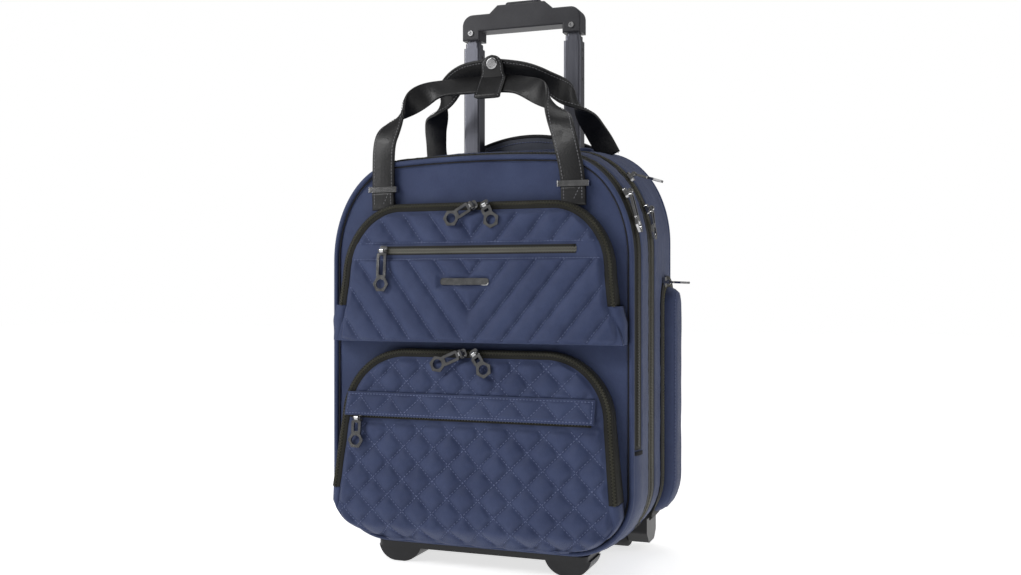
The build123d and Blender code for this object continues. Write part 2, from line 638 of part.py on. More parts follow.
slider_planes = {
    "front_zip": shifted(corner_plane(10.5, 36), 0, 0, TAPE + 0.4),
    "main_zip_upper": shifted(corner_plane(SPLIT, 46), 0, 0, slider_lift),
    "main_zip_lower": shifted(corner_plane(SPLIT, 24), 0, 0, slider_lift),
    "side_zip": shifted(side_plane(HALF_WIDTH), 124, SIDE_POCKET_Z[1] + 6, TAPE),
    "upper_left": shifted(upper_face, 0, upper_zip_y, 0.2, -59),
    "upper_right": shifted(upper_face, 14.5, upper_zip_y, 0.2, 27),
    "lower_left": shifted(lower_face, -12, lower_zip_y, 0.2, -66),
    "lower_right": shifted(lower_face, 3, lower_zip_y, 0.2, 36),
    "slip": shifted(upper_face, SLIP_ZIP_X[0] + 5, on_face(upper_face, SLIP_ZIP_Z), TAPE),
    "flap": shifted(lower_face, -128, on_face(lower_face, FLAP_ZIP_Z), TAPE),
}
slider_groups = {
    "case_zip_sliders": ("main_zip_upper", "main_zip_lower", "side_zip"),
    "front_zip_slider": ("front_zip",),
    "upper_pocket_sliders": ("upper_left", "upper_right"),
    "lower_pocket_sliders": ("lower_left", "lower_right"),
    "slip_slider": ("slip",),
    "flap_slider": ("flap",),
}
# Each pull's swing off the fabric at rest, and its tab's length.
pull_shapes = {
    "front_zip": (-14, 26),
    "main_zip_upper": (36, 14),
    "main_zip_lower": (-12, 16),
    "side_zip": (88, 5),
    "upper_left": (0, 16),
    "upper_right": (0, 8),
    "lower_left": (0, 18),
    "lower_right": (0, 10),
    "slip": (0, 26),
    "flap": (0, 14),
}
for group, zips in slider_groups.items():
    with BuildPart() as sliders:
        for zip_name in zips:
            add(slider(slider_planes[zip_name]))
    finish(sliders.part, group)
for zip_name, (swing, tab_length) in pull_shapes.items():
    finish(pull(slider_planes[zip_name], swing, tab_length), f"{zip_name}_pull")

# ---- carrying handles -------------------------------------------------------------------------

with BuildPart() as front_handle:
    add(handle_arch((strap_depth, FRONT_HANDLE_SHOULDER_Z), FRONT_HANDLE_APEX))
    with BuildSketch(level_plane(FRONT_FOLD_Z)):
        with Locations((-STRAP_X, strap_depth), (STRAP_X, strap_depth)):
            Rectangle(STRAP_WIDTH, STRAP_THICK)
    extrude(amount=FRONT_HANDLE_SHOULDER_Z - FRONT_FOLD_Z)
finish(front_handle.part, "front_handle")

with BuildPart() as back_handle:
    add(handle_arch(BACK_HANDLE_FOOT, BACK_HANDLE_APEX))
finish(back_handle.part, "back_handle")

handle_lean = atan2(FRONT_HANDLE_APEX[1] - FRONT_HANDLE_SHOULDER_Z, FRONT_HANDLE_APEX[0] - strap_depth)


def over_apex(along, off):
    """Depth and height of a point near the front handle's apex: along its lean, and off its front face."""
    depth = FRONT_HANDLE_APEX[0] + along * cos(handle_lean) - off * sin(handle_lean)
    return depth, FRONT_HANDLE_APEX[1] + along * sin(handle_lean) + off * cos(handle_lean)


wrap_off = STRAP_THICK / 2 + WRAP_THICK / 2 + 0.2
wrap_bend = over_apex(10, wrap_off)

with BuildPart() as handle_wrap:
    with BuildSketch(side_plane(-WRAP_WIDTH / 2)):
        with BuildLine():
            Polyline(over_apex(-15, wrap_off), wrap_bend, WRAP_TOP)
        trace(line_width=WRAP_THICK)
    extrude(amount=WRAP_WIDTH)
finish(handle_wrap.part, "handle_wrap")

wrap_upper = Plane(
    origin=place(0, *WRAP_TOP),
    x_dir=(1, 0, 0),
    z_dir=(0, wrap_bend[1] - WRAP_TOP[1], WRAP_TOP[0] - wrap_bend[0]),
)
with BuildPart() as snap_cap:
    with BuildSketch(shifted(wrap_upper, 0, -9, WRAP_THICK / 2)):
        Circle(6.5)
    extrude(amount=2.6)
    fillet(snap_cap.edges().filter_by(GeomType.CIRCLE).sort_by(Axis.Y)[0], 1.6)
finish(snap_cap.part, "snap_cap")

# ---- trolley -----------------------------------------------------------------------------------

finish(tube_pair(STAGE_A_Z, *STAGE_A), "trolley_stage_a")
finish(tube_pair(STAGE_B_Z, *STAGE_B), "trolley_stage_b")
finish(tube_pair(STAGE_C_Z, *STAGE_C), "trolley_stage_c")

grip_front = TUBE_DEPTH - GRIP_DEPTH / 2
leg_foot_z = STAGE_C_Z[1]
with BuildPart() as trolley_grip:
    with BuildSketch(front_plane(grip_front)):
        inner = GRIP_HALF - GRIP_LEG
        with BuildLine():
            Polyline(
                (-GRIP_HALF, leg_foot_z),
                (-inner, leg_foot_z),
                (-inner, GRIP_UNDER_Z),
                (inner, GRIP_UNDER_Z),
                (inner, leg_foot_z),
                (GRIP_HALF, leg_foot_z),
                (GRIP_HALF, GRIP_END_Z),
                (HUMP_HALF + 10, GRIP_END_Z),
                (HUMP_HALF, GRIP_TOP_Z),
                (-HUMP_HALF, GRIP_TOP_Z),
                (-HUMP_HALF - 10, GRIP_END_Z),
                (-GRIP_HALF, GRIP_END_Z),
                close=True,
            )
        grip_face = make_face()
        corners = grip_face.vertices().group_by(Axis.Y)
        fillet(corners[-2].sort_by(Axis.X)[0:1] + corners[-2].sort_by(Axis.X)[-1:], 13)
    extrude(amount=-GRIP_DEPTH)
    fillet(trolley_grip.faces().filter_by(Axis.Y).edges().filter_by(GeomType.LINE), 2)
    with BuildSketch(level_plane(leg_foot_z)):
        with Locations((-TUBE_X, TUBE_DEPTH), (TUBE_X, TUBE_DEPTH)):
            Circle(ROD_RADIUS + 0.6)
    extrude(amount=BAR_Z[1] - leg_foot_z, mode=Mode.SUBTRACT)
    with BuildSketch(level_plane(BAR_Z[0] - BUTTON_TRAVEL - 0.6)):
        with Locations((0, TUBE_DEPTH)):
            Rectangle(2 * TUBE_X, 2 * ROD_RADIUS + 1.2)
    extrude(amount=BAR_Z[1] - BAR_Z[0] + BUTTON_TRAVEL + 1.2, mode=Mode.SUBTRACT)
    with BuildSketch(level_plane(BAR_Z[1])):
        with Locations((0, TUBE_DEPTH)):
            Circle(STEM_RADIUS + 0.5)
    extrude(amount=10, mode=Mode.SUBTRACT)
    with BuildSketch(level_plane(POCKET_FLOOR_Z)):
        with Locations((0, TUBE_DEPTH)):
            RectangleRounded(BUTTON_LENGTH + 0.8, BUTTON_WIDTH + 0.8, 6.2)
    extrude(amount=30, mode=Mode.SUBTRACT)
finish(trolley_grip.part, "trolley_grip")

with BuildPart() as release_button:
    with BuildSketch(level_plane(POCKET_FLOOR_Z + BUTTON_TRAVEL + 1.4)):
        with Locations((0, TUBE_DEPTH)):
            RectangleRounded(BUTTON_LENGTH, BUTTON_WIDTH, 5.8)
    extrude(amount=BUTTON_TOP_Z - POCKET_FLOOR_Z - BUTTON_TRAVEL - 1.4)
    fillet(release_button.faces().sort_by(Axis.Z)[-1].edges(), 1.5)
    with BuildSketch(level_plane(BAR_Z[1])):
        with Locations((0, TUBE_DEPTH)):
            Circle(STEM_RADIUS)
    extrude(amount=10)
finish(release_button.part, "release_button")

with BuildPart() as release_rods:
    with BuildSketch(level_plane(BAR_Z[0])):
        with Locations((0, TUBE_DEPTH)):
            Rectangle(2 * TUBE_X, 2 * ROD_RADIUS)
    extrude(amount=BAR_Z[1] - BAR_Z[0])
    with BuildSketch(level_plane(ROD_END_Z)):
        with Locations((-TUBE_X, TUBE_DEPTH), (TUBE_X, TUBE_DEPTH)):
            Circle(ROD_RADIUS)
    extrude(amount=BAR_Z[1] - ROD_END_Z)
finish(release_rods.part, "release_rods")

with BuildPart() as button_springs:
    with BuildSketch(level_plane(POCKET_FLOOR_Z)):
        with Locations((-15, TUBE_DEPTH), (15, TUBE_DEPTH)):
            Circle(2.5)
            Circle(1.8, mode=Mode.SUBTRACT)
    extrude(amount=BUTTON_TRAVEL + 1.4)
finish(button_springs.part, "button_springs")

with BuildPart() as grip_screws:
    with BuildSketch(front_plane(grip_front)):
        with Locations((-TUBE_X, SCREW_Z), (TUBE_X, SCREW_Z)):
            Circle(SCREW_RADIUS)
    extrude(amount=1.6)
    with BuildSketch(front_plane(grip_front - 0.8)):
        with Locations((-TUBE_X, SCREW_Z), (TUBE_X, SCREW_Z)):
            Rectangle(3.6, 0.8)
            Rectangle(0.8, 3.6)
    extrude(amount=2, mode=Mode.SUBTRACT)
finish(grip_screws.part, "grip_screws")

# ---- wheels ------------------------------------------------------------------------------------

for side, middle in (("left", -WHEEL_X), ("right", WHEEL_X)):
    with BuildPart() as tyre:
        with BuildSketch(side_plane(middle - WHEEL_WIDTH / 2)):
            with Locations((AXLE_DEPTH, WHEEL_RADIUS)):
                Circle(WHEEL_RADIUS)
                Circle(HUB_RADIUS, mode=Mode.SUBTRACT)
        extrude(amount=WHEEL_WIDTH)
        fillet(tyre.edges().filter_by(GeomType.CIRCLE).group_by(SortBy.RADIUS)[-1], 3)
    finish(tyre.part, f"tyre_{side}")

    with BuildPart() as hub:
        with BuildSketch(side_plane(middle - WHEEL_WIDTH / 2)):
            with Locations((AXLE_DEPTH, WHEEL_RADIUS)):
                Circle(HUB_RADIUS)
                Circle(AXLE_RADIUS + AXLE_PLAY, mode=Mode.SUBTRACT)
        extrude(amount=WHEEL_WIDTH)
        for face_x, inward in ((middle + WHEEL_WIDTH / 2, -5), (middle - WHEEL_WIDTH / 2, 5)):
            with BuildSketch(side_plane(face_x)):
                with Locations((AXLE_DEPTH, WHEEL_RADIUS)):
                    Circle(HUB_RADIUS - 2.5)
                    Circle(AXLE_RADIUS + 3, mode=Mode.SUBTRACT)
            extrude(amount=inward, mode=Mode.SUBTRACT)
    finish(hub.part, f"hub_{side}")
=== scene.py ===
"""Looks of the rolling laptop case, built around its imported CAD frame.

Case points are in millimetres: x to the right of the middle plane, depth backwards from the
front panel, z up from the floor. Pieces are written out in metres, in the CAD frame.
"""

import math

import bmesh
import bpy
import numpy as np
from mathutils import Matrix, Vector


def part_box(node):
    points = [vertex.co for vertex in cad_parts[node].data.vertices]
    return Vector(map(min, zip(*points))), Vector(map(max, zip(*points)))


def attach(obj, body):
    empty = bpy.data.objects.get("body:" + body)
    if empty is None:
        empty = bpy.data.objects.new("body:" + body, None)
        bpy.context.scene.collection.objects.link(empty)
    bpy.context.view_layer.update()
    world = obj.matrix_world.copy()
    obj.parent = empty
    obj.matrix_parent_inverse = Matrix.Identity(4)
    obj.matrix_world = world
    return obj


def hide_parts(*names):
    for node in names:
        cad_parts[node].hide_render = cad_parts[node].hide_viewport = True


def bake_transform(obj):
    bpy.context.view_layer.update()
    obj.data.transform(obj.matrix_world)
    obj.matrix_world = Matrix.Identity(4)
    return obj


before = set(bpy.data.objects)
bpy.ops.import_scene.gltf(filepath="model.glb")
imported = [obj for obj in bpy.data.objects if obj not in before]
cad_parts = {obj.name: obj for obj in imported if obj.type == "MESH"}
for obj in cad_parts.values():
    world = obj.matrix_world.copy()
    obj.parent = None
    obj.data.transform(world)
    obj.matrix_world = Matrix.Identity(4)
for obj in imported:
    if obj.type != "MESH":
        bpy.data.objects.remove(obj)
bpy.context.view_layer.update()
panel_low, panel_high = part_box("front_panel")
ORIGIN = np.array(((panel_low.x + panel_high.x) * 500, panel_low.y * 1000, 0.0))

# ---- dimensions shared with the CAD ------------------------------------------------------------

HALF_WIDTH, BOTTOM_Z, CORNER_TOP_Z, CROWN = 170.0, 23.0, 434.0, 3.0
BOTTOM_RADIUS, SHOULDER_X, SHOULDER_Y = 68.0, 80.0, 108.0
BACK_EDGE, BACK_DEPTH, BACK_ROUNDING = 163.0, 180.0, 12.0
TOP_RISE, WALL = 20.0, 3.0
FRONT_ZIP, FRONT_ZIP_END_Z = (2.5, 18.5), 131.0
MAIN_ZIP, MAIN_ZIP_END_Z = (50.0, 79.0), 47.0
BAND = 9.0
UPPER = dict(sill=279.0, turn=310.0, top=386.0, low=154.0, high=150.5, corner=66.0)
LOWER = dict(sill=84.0, turn=160.0, top=232.0, low=157.5, high=150.0, corner=72.0)
UPPER_OUT = ((240, 23), (279, 19), (386, 10))
LOWER_OUT = ((28, 24), (84, 26), (232, 10))
SLIP_Z, SLIP_X = 335.5, (-105.0, 112.0)
PLATE_X, PLATE_Z = -7.0, 303.0
FLAP_Z, FLAP_X, FLAP_ZIP_Z = (161.0, 185.5), (-143.0, 133.0), 162.0
POCKET_DEPTHS, POCKET_Z = (121.0, 166.0), (47.0, 297.0)
STRAP_X, STRAP_WIDTH, STRAP_THICK, STRAP_DEPTH = 106.5, 26.0, 3.2, -5.0
TUBE_X, TUBE_DEPTH = 62.0, 147.0


# ---- numbers and lines ---------------------------------------------------------------------------


def unit(vectors):
    return vectors / np.maximum(np.linalg.norm(vectors, axis=-1, keepdims=True), 1e-9)


def smooth(value):
    """0 below 0, 1 above 1, and an even curve between."""
    value = np.clip(value, 0, 1)
    return value * value * (3 - 2 * value)


def columns(x, depth, z):
    return np.stack(np.broadcast_arrays(np.asarray(x, float), depth, z), -1).astype(float)


def resample(line, step, closed=False):
    """The same line with evenly spaced points."""
    line = np.vstack([line, line[:1]]) if closed else np.asarray(line, float)
    along = np.concatenate([[0], np.cumsum(np.linalg.norm(np.diff(line, axis=0), axis=1))])
    count = max(3, int(round(along[-1] / step)) + 1)
    at = np.linspace(0, along[-1], count)
    even = np.stack([np.interp(at, along, line[:, k]) for k in range(3)], 1)
    return even[:-1] if closed else even


def headings(line, closed=False):
    if closed:
        return unit(np.roll(line, -1, 0) - np.roll(line, 1, 0))
    return unit(np.gradient(line, axis=0))


def ripple(u, v, size, seed=0):
    """A soft uneven surface between -1 and 1, with lumps of about that size."""
    total = 0
    for k in range(5):
        angle, phase = 2.4 * k + seed, 1.7 * k * k + 3.1 * seed
        across = (u * math.cos(angle) + v * math.sin(angle)) / size * (0.7 + 0.23 * k)
        total = total + np.sin(2 * math.pi * across + phase + 1.3 * np.sin(v / size + phase))
    return total / 5


def rounded(width, height, radius, steps=3):
    """A rounded rectangle's outline, for a section."""
    corners = []
    for turn, (sx, sy) in enumerate(((1, 1), (-1, 1), (-1, -1), (1, -1))):
        for k in range(steps + 1):
            angle = math.pi / 2 * (turn + k / steps)
            corners.append(
                (
                    sx * (width / 2 - radius) + radius * math.cos(angle),
                    sy * (height / 2 - radius) + radius * math.sin(angle),
                )
            )
    return np.array(corners)


def disc(radius, sides=10):
    turn = np.arange(sides) * 2 * math.pi / sides
    return np.stack([radius * np.cos(turn), radius * np.sin(turn)], 1)


# ---- meshes --------------------------------------------------------------------------------------


def piece(name, points, faces, material, body=None, corner_uv=None, flat=False):
    """A closed mesh from case points, riding on a CAD body."""
    mesh = bpy.data.meshes.new(name)
    mesh.from_pydata(((np.asarray(points) + ORIGIN) / 1000).tolist(), [], faces)
    layer = mesh.uv_layers.new(name="Weave")
    if corner_uv is not None:
        layer.data.foreach_set("uv", (np.asarray(corner_uv, float) / 1000).ravel())
    mesh.materials.append(material)
    shape = bmesh.new()
    shape.from_mesh(mesh)
    bmesh.ops.recalc_face_normals(shape, faces=shape.faces)
    shape.to_mesh(mesh)
    shape.free()
    mesh.polygons.foreach_set("use_smooth", [not flat] * len(mesh.polygons))
    made = bpy.data.objects.new(name, mesh)
    bpy.context.scene.collection.objects.link(made)
    if body:
        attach(made, body)
    return made


def skin(name, rows, material, body=None, closed=False, strips=False):
    """A closed skin through rows of points. Each row is a loop; the end rows are capped or joined."""
    count, width = rows.shape[:2]
    row_step = np.linalg.norm(np.roll(rows, -1, 1) - rows, axis=2)
    u = np.concatenate([np.zeros((count, 1)), np.cumsum(row_step, 1)], 1)
    u -= u[:, width // 2][:, None]
    line_step = np.linalg.norm(np.roll(rows, -1, 0) - rows, axis=2).mean(1)
    v = np.concatenate([[0], np.cumsum(line_step)])
    lines = count if closed else count - 1
    r, c = np.meshgrid(np.arange(lines), np.arange(width), indexing="ij")
    after_r, after_c = (r + 1) % count, (c + 1) % width
    faces = np.stack([r * width + c, r * width + after_c, after_r * width + after_c, after_r * width + c], -1)
    corner_uv = np.stack(
        [
            np.stack([u[r, c], v[r]], -1),
            np.stack([u[r, c + 1], v[r]], -1),
            np.stack([u[after_r, c + 1], v[r + 1]], -1),
            np.stack([u[after_r, c], v[r + 1]], -1),
        ],
        2,
    )
    faces = faces.reshape(-1, 4).tolist()
    corner_uv = corner_uv.reshape(-1, 2)
    if not closed:
        for start, row in ((0, 0), ((count - 1) * width, count - 1)):
            if strips:
                caps = [[i, i + 1, width - 2 - i, width - 1 - i] for i in range(width // 2 - 1)]
            else:
                caps = [list(range(width))]
            faces += [[start + i for i in cap] for cap in caps]
            flat_uv = [(u[row, i], v[row]) for cap in caps for i in cap]
            corner_uv = np.vstack([corner_uv, flat_uv])
    return piece(name, rows.reshape(-1, 3), faces, material, body, corner_uv)


def shell(name, front, back, material, body=None):
    """A closed sheet between two grids of points."""
    return skin(name, np.concatenate([front, back[:, ::-1]], 1), material, body, strips=True)


def sweep(name, line, across, up, section, material, body=None, closed=False):
    """A section of (across, up) points carried along a line; it may change from point to point."""
    section = np.broadcast_to(section, (len(line),) + np.shape(section)[-2:])
    rows = line[:, None] + across[:, None] * section[..., :1] + up[:, None] * section[..., 1:]
    return skin(name, rows, material, body, closed)


def tube(name, line, radius, up, material, body=None, closed=False, sides=10):
    """A round cord along a line."""
    across = unit(np.cross(headings(line, closed), up))
    square = unit(np.cross(across, headings(line, closed)))
    return sweep(name, line, across, square, disc(radius, sides), material, body, closed)


def copies(name, form, places, along, up, material, body=None, flat=False):
    """Many copies of one small closed form in one mesh: local x runs along, local z up."""
    points, faces = form
    side = unit(np.cross(up, along))
    top = np.cross(along, side)
    axes = np.stack([along, side, top], 1)
    moved = places[:, None] + np.einsum("vk,nkj->nvj", points, axes)
    every = [[i + n * len(points) for i in face] for n in range(len(places)) for face in faces]
    return piece(name, moved.reshape(-1, 3), every, material, body, flat=flat)


def capsule(length, radius, height=0.8):
    """A thread's short bulge: rings of six points between two small ends."""
    stations = ((-0.5, 0.35), (-0.32, 1.0), (0.32, 1.0), (0.5, 0.35))
    points = [
        (share * length, radius * grow * math.cos(a), radius * grow * height * math.sin(a))
        for share, grow in stations
        for a in np.arange(6) * math.pi / 3
    ]
    faces = [
        [6 * s + k, 6 * s + (k + 1) % 6, 6 * s + 6 + (k + 1) % 6, 6 * s + 6 + k]
        for s in range(3)
        for k in range(6)
    ]
    return np.array(points), faces + [list(range(6)), list(range(18, 24))]


def tooth(length, width, height):
    """One link of a zip's chain, narrower at the top."""
    points = [
        (sx * length / 2 * taper, sy * width / 2 * taper, z)
        for z, taper in ((-0.3, 1.0), (height, 0.62))
        for sx, sy in ((1, 1), (-1, 1), (-1, -1), (1, -1))
    ]
    sides = [[k, (k + 1) % 4, 4 + (k + 1) % 4, 4 + k] for k in range(4)]
    return np.array(points), sides + [[0, 1, 2, 3], [4, 5, 6, 7]]


def stitches(name, line, up, body, material, pitch=4.0, length=2.7, radius=0.42, closed=False):
    """A row of thread stitches lying on a surface."""
    even = resample(line, pitch, closed)
    up = up if np.ndim(up) == 1 else unit(nearest(line, up, even))
    return copies(
        name, capsule(length, radius), even, headings(even, closed), np.broadcast_to(up, even.shape),
        material, body,
    )


def nearest(line, values, points):
    """The values of the line's points that are nearest to each of some points."""
    gaps = ((points[:, None] - line[None]) ** 2).sum(2)
    return values[gaps.argmin(1)]


def chain(name, line, up, body, material, pitch=1.6, width=4.2, height=0.9, closed=False):
    """A zip's coil: links side by side that lean left and right by turns."""
    even = resample(line, pitch, closed)
    along = headings(even, closed)
    up = np.broadcast_to(up, even.shape) if np.ndim(up) == 1 else unit(nearest(line, up, even))
    side = unit(np.cross(up, along))
    shift = np.where(np.arange(len(even)) % 2, 0.5, -0.5)[:, None]
    return copies(
        name, tooth(pitch * 0.86, width, height), even + side * shift, along, up, material, body, flat=True
    )


def softened(node, width=0.35, segments=2):
    """Rounds the sharp edges of a CAD node as it is shown."""
    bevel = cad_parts[node].modifiers.new("Edges", "BEVEL")
    bevel.width, bevel.segments, bevel.limit_method = width / 1000, segments, "ANGLE"
    bevel.angle_limit = math.radians(40)
    bevel.harden_normals = True


def dress(material, *nodes):
    """Gives CAD nodes that are shown as they are their finish."""
    for node in nodes:
        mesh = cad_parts[node].data
        mesh.materials.clear()
        mesh.materials.append(material)


# ---- materials -----------------------------------------------------------------------------------


class Finish:
    """A procedural material: a principled shader and the nodes that feed it."""

    def __init__(self, name, **sockets):
        self.material = bpy.data.materials.new(name)
        self.material.use_nodes = True
        self.tree = self.material.node_tree
        self.shader = self.tree.nodes["Principled BSDF"]
        for key, value in sockets.items():
            self.shader.inputs[key.replace("_", " ")].default_value = value
        self.height = None

    def add(self, kind, inputs=(), **settings):
        node = self.tree.nodes.new("ShaderNode" + kind)
        for key, value in settings.items():
            setattr(node, key, value)
        for key, value in dict(inputs).items():
            if isinstance(value, bpy.types.NodeSocket):
                self.tree.links.new(value, node.inputs[key])
            else:
                node.inputs[key].default_value = value
        return node

    def math(self, operation, a, b=0.0):
        return self.add("Math", {0: a, 1: b}, operation=operation).outputs[0]

    def noise(self, scale, detail=3.0, roughness=0.55, stretch=(1, 1, 1)):
        """Uneven grain fixed to the piece, scale in lumps a metre."""
        place = self.add("TexCoord").outputs["Object"]
        if stretch != (1, 1, 1):
            place = self.add("Mapping", {"Vector": place, "Scale": stretch}).outputs[0]
        values = {"Vector": place, "Scale": scale, "Detail": detail, "Roughness": roughness}
        return self.add("TexNoise", values).outputs["Fac"]

    def threads(self, pitch, lean=0.0):
        """Woven threads, 0 to 1, along the piece's own lengthwise and crosswise directions."""
        uv = self.add("UVMap", uv_map="Weave").outputs[0]
        parts = self.add("SeparateXYZ", {0: uv}).outputs
        turn = 2 * math.pi / pitch
        leaned = self.math("ADD", parts[0], self.math("MULTIPLY", parts[1], lean))
        warp = self.math("SINE", self.math("MULTIPLY", leaned, turn))
        weft = self.math("SINE", self.math("MULTIPLY", parts[1], turn))
        woven = self.math("MULTIPLY", warp, weft)
        return self.math("ADD", self.math("MULTIPLY", woven, 0.5), 0.5)

    def colour(self, amount, *stops):
        """Base colour from an amount through colour stops (place, rgb)."""
        ramp = self.add("ValToRGB", {0: amount})
        while len(ramp.color_ramp.elements) < len(stops):
            ramp.color_ramp.elements.new(0.5)
        for element, (place, rgb) in zip(ramp.color_ramp.elements, stops):
            element.position, element.color = place, (*rgb, 1)
        self.tree.links.new(ramp.outputs[0], self.shader.inputs["Base Color"])
        return self

    def rough(self, amount, low, high):
        ramp = self.add("MapRange", {0: amount, 3: low, 4: high})
        self.tree.links.new(ramp.outputs[0], self.shader.inputs["Roughness"])
        return self

    def bump(self, amount, depth, strength=1.0):
        """Adds relief, depth in metres."""
        values = {"Height": amount, "Distance": depth, "Strength": strength}
        if self.height is not None:
            values["Normal"] = self.height
        self.height = self.add("Bump", values).outputs[0]
        self.tree.links.new(self.height, self.shader.inputs["Normal"])
        return self


def fabric(name, dark, light, pitch=0.0009, crumple=0.0011, **sockets):
    """Close-woven nylon: fine threads, uneven yarn and soft creases."""
    made = Finish(name, **{"Sheen_Weight": 0.05, "Specular_IOR_Level": 0.2, **sockets})
    weave = made.threads(pitch)
    cloud, yarn = made.noise(24, 4), made.noise(1400, 2, stretch=(1, 1, 0.25))
    mix = made.math("ADD", made.math("MULTIPLY", cloud, 0.7), made.math("MULTIPLY", yarn, 0.3))
    mix = made.math("ADD", mix, made.math("MULTIPLY", made.math("SUBTRACT", weave, 0.5), 0.16))
    middle = tuple((a + b) / 2 for a, b in zip(dark, light))
    made.colour(mix, (0.28, dark), (0.5, middle), (0.72, light))
    made.rough(yarn, 0.5, 0.66)
    return made.bump(made.noise(38, 3), crumple).bump(weave, 0.00012, 0.7).bump(yarn, 0.00012, 0.5)


def leather(name, dark, light, grain=0.00025, rough=(0.34, 0.5), **sockets):
    """Embossed leather: a pebbled grain with shine on its high spots."""
    made = Finish(name, **{"Coat_Weight": 0.05, "Specular_IOR_Level": 0.35, **sockets})
    pebble = made.add("TexVoronoi", {"Vector": made.add("TexCoord").outputs["Object"], "Scale": 620.0})
    pores, cloud = made.noise(1500, 3), made.noise(55, 4)
    made.colour(made.math("ADD", made.math("MULTIPLY", cloud, 0.6), made.math("MULTIPLY", pores, 0.4)),
                (0.35, dark), (0.68, light))
    made.rough(cloud, *rough)
    return made.bump(cloud, 0.0006).bump(pebble.outputs["Distance"], grain, 0.6).bump(pores, 0.0001, 0.5)


def metal(name, dark, light, rough=(0.1, 0.22), streak=(1, 1, 1), scale=160, relief=0.00008):
    """Polished or drawn metal with faint marks."""
    made = Finish(name, Metallic=1.0)
    marks = made.noise(scale, 5, stretch=streak)
    made.colour(marks, (0.3, dark), (0.7, light)).rough(marks, *rough)
    return made.bump(made.noise(scale * 6, 2, stretch=streak), relief, 0.3)


def plastic(name, dark, light, rough=(0.35, 0.5), grain=900, relief=0.00012, **sockets):
    """Moulded plastic with a fine spark-eroded texture."""
    made = Finish(name, **{"Specular_IOR_Level": 0.35, **sockets})
    spark, cloud = made.noise(grain, 2), made.noise(30, 4)
    made.colour(made.math("ADD", made.math("MULTIPLY", cloud, 0.6), made.math("MULTIPLY", spark, 0.4)),
                (0.35, dark), (0.7, light))
    return made.rough(spark, *rough).bump(spark, relief, 0.5)


NAVY = fabric("navy_nylon", (0.024, 0.034, 0.082), (0.042, 0.058, 0.125)).material
QUILT = fabric("quilted_nylon", (0.024, 0.034, 0.082), (0.044, 0.06, 0.128), crumple=0.0007).material
LINING = fabric("lining_cloth", (0.05, 0.055, 0.075), (0.075, 0.082, 0.105), pitch=0.0012).material
TAPE = fabric("zip_tape", (0.006, 0.006, 0.005), (0.014, 0.0135, 0.010),
              pitch=0.0013, crumple=0.0002).material
# Black binding cloth. The same material also makes the strip of painted shade in the groove inside the front
# piping.
BINDING_AND_GROOVE_SHADE = fabric("black_binding_and_groove_shade", (0.006, 0.006, 0.008), (0.013, 0.013, 0.016), pitch=0.001).material
LEATHER = leather("black_leather", (0.003, 0.003, 0.0035), (0.008, 0.008, 0.009)).material
THREAD = plastic("navy_thread", (0.08, 0.10, 0.20), (0.15, 0.18, 0.31), (0.6, 0.8), 2500, 0.0001).material
PALE_THREAD = plastic("grey_thread", (0.10, 0.10, 0.11), (0.20, 0.20, 0.21),
                      (0.6, 0.8), 2500, 0.0001).material
COIL = plastic("dark_coil", (0.030, 0.029, 0.020), (0.065, 0.062, 0.045), (0.25, 0.4), 700).material
OLIVE_COIL = plastic("olive_coil", (0.06, 0.057, 0.038), (0.12, 0.115, 0.08), (0.25, 0.4), 700).material
STEEL_COIL = plastic("grey_coil", (0.17, 0.168, 0.145), (0.23, 0.226, 0.195), (0.3, 0.4), 2500).material
CHROME = metal("dark_chrome", (0.30, 0.30, 0.305), (0.46, 0.46, 0.465), (0.06, 0.14)).material
GUNMETAL = metal(
    "gunmetal_tube", (0.125, 0.128, 0.150), (0.150, 0.153, 0.178), (0.28, 0.36), (1, 1, 0.04), 700, 0.00002
).material
GRIP = plastic("grip_plastic", (0.022, 0.022, 0.026), (0.038, 0.038, 0.044), (0.36, 0.5), 1100).material
BLACK = plastic("black_plastic", (0.006, 0.006, 0.007), (0.014, 0.014, 0.016), (0.3, 0.46)).material
RUBBER = plastic("tyre_rubber", (0.010, 0.010, 0.010), (0.022, 0.022, 0.023),
                 (0.62, 0.8), 600, 0.0003).material
HUB = plastic("hub_plastic", (0.05, 0.05, 0.055), (0.08, 0.08, 0.085), (0.35, 0.5)).material
STEEL = metal("axle_steel", (0.35, 0.35, 0.36), (0.5, 0.5, 0.5), (0.2, 0.35)).material


# ---- the case's outline ----------------------------------------------------------------------------


def outline(depth, inset=0.0):
    """The case's section at a depth as (x, z), from the bottom's middle round by the right side."""
    rise = TOP_RISE * depth / BACK_EDGE
    flat, shoulder = HALF_WIDTH - BOTTOM_RADIUS, HALF_WIDTH - SHOULDER_X
    turn_z, shoulder_z = BOTTOM_Z + BOTTOM_RADIUS, CORNER_TOP_Z - SHOULDER_Y + rise
    low, high, half = BOTTOM_Z + inset, CORNER_TOP_Z + rise - inset, HALF_WIDTH - inset
    corner = np.radians(np.linspace(-90, 0, 29))[:-1]
    top = np.radians(np.linspace(0, 90, 45))[:-1]
    over = np.linspace(shoulder, 0, 25)
    x = np.concatenate([
        np.linspace(0, flat, 25)[:-1], flat + (BOTTOM_RADIUS - inset) * np.cos(corner), np.full(60, half),
        shoulder + (SHOULDER_X - inset) * np.cos(top), over,
    ])
    z = np.concatenate([
        np.full(24, low), turn_z + (BOTTOM_RADIUS - inset) * np.sin(corner),
        np.linspace(turn_z, shoulder_z, 61)[:-1], shoulder_z + (SHOULDER_Y - inset) * np.sin(top),
        high + CROWN * (1 - (over / shoulder) ** 2),
    ])
    return np.concatenate([np.stack([x, z], 1), np.stack([-x[1:-1], z[1:-1]], 1)[::-1]])


def outward(loop):
    """Outward directions of a closed loop of (x, z) points."""
    along = unit(np.roll(loop, -1, 0) - np.roll(loop, 1, 0))
    return np.stack([along[:, 1], -along[:, 0]], 1)


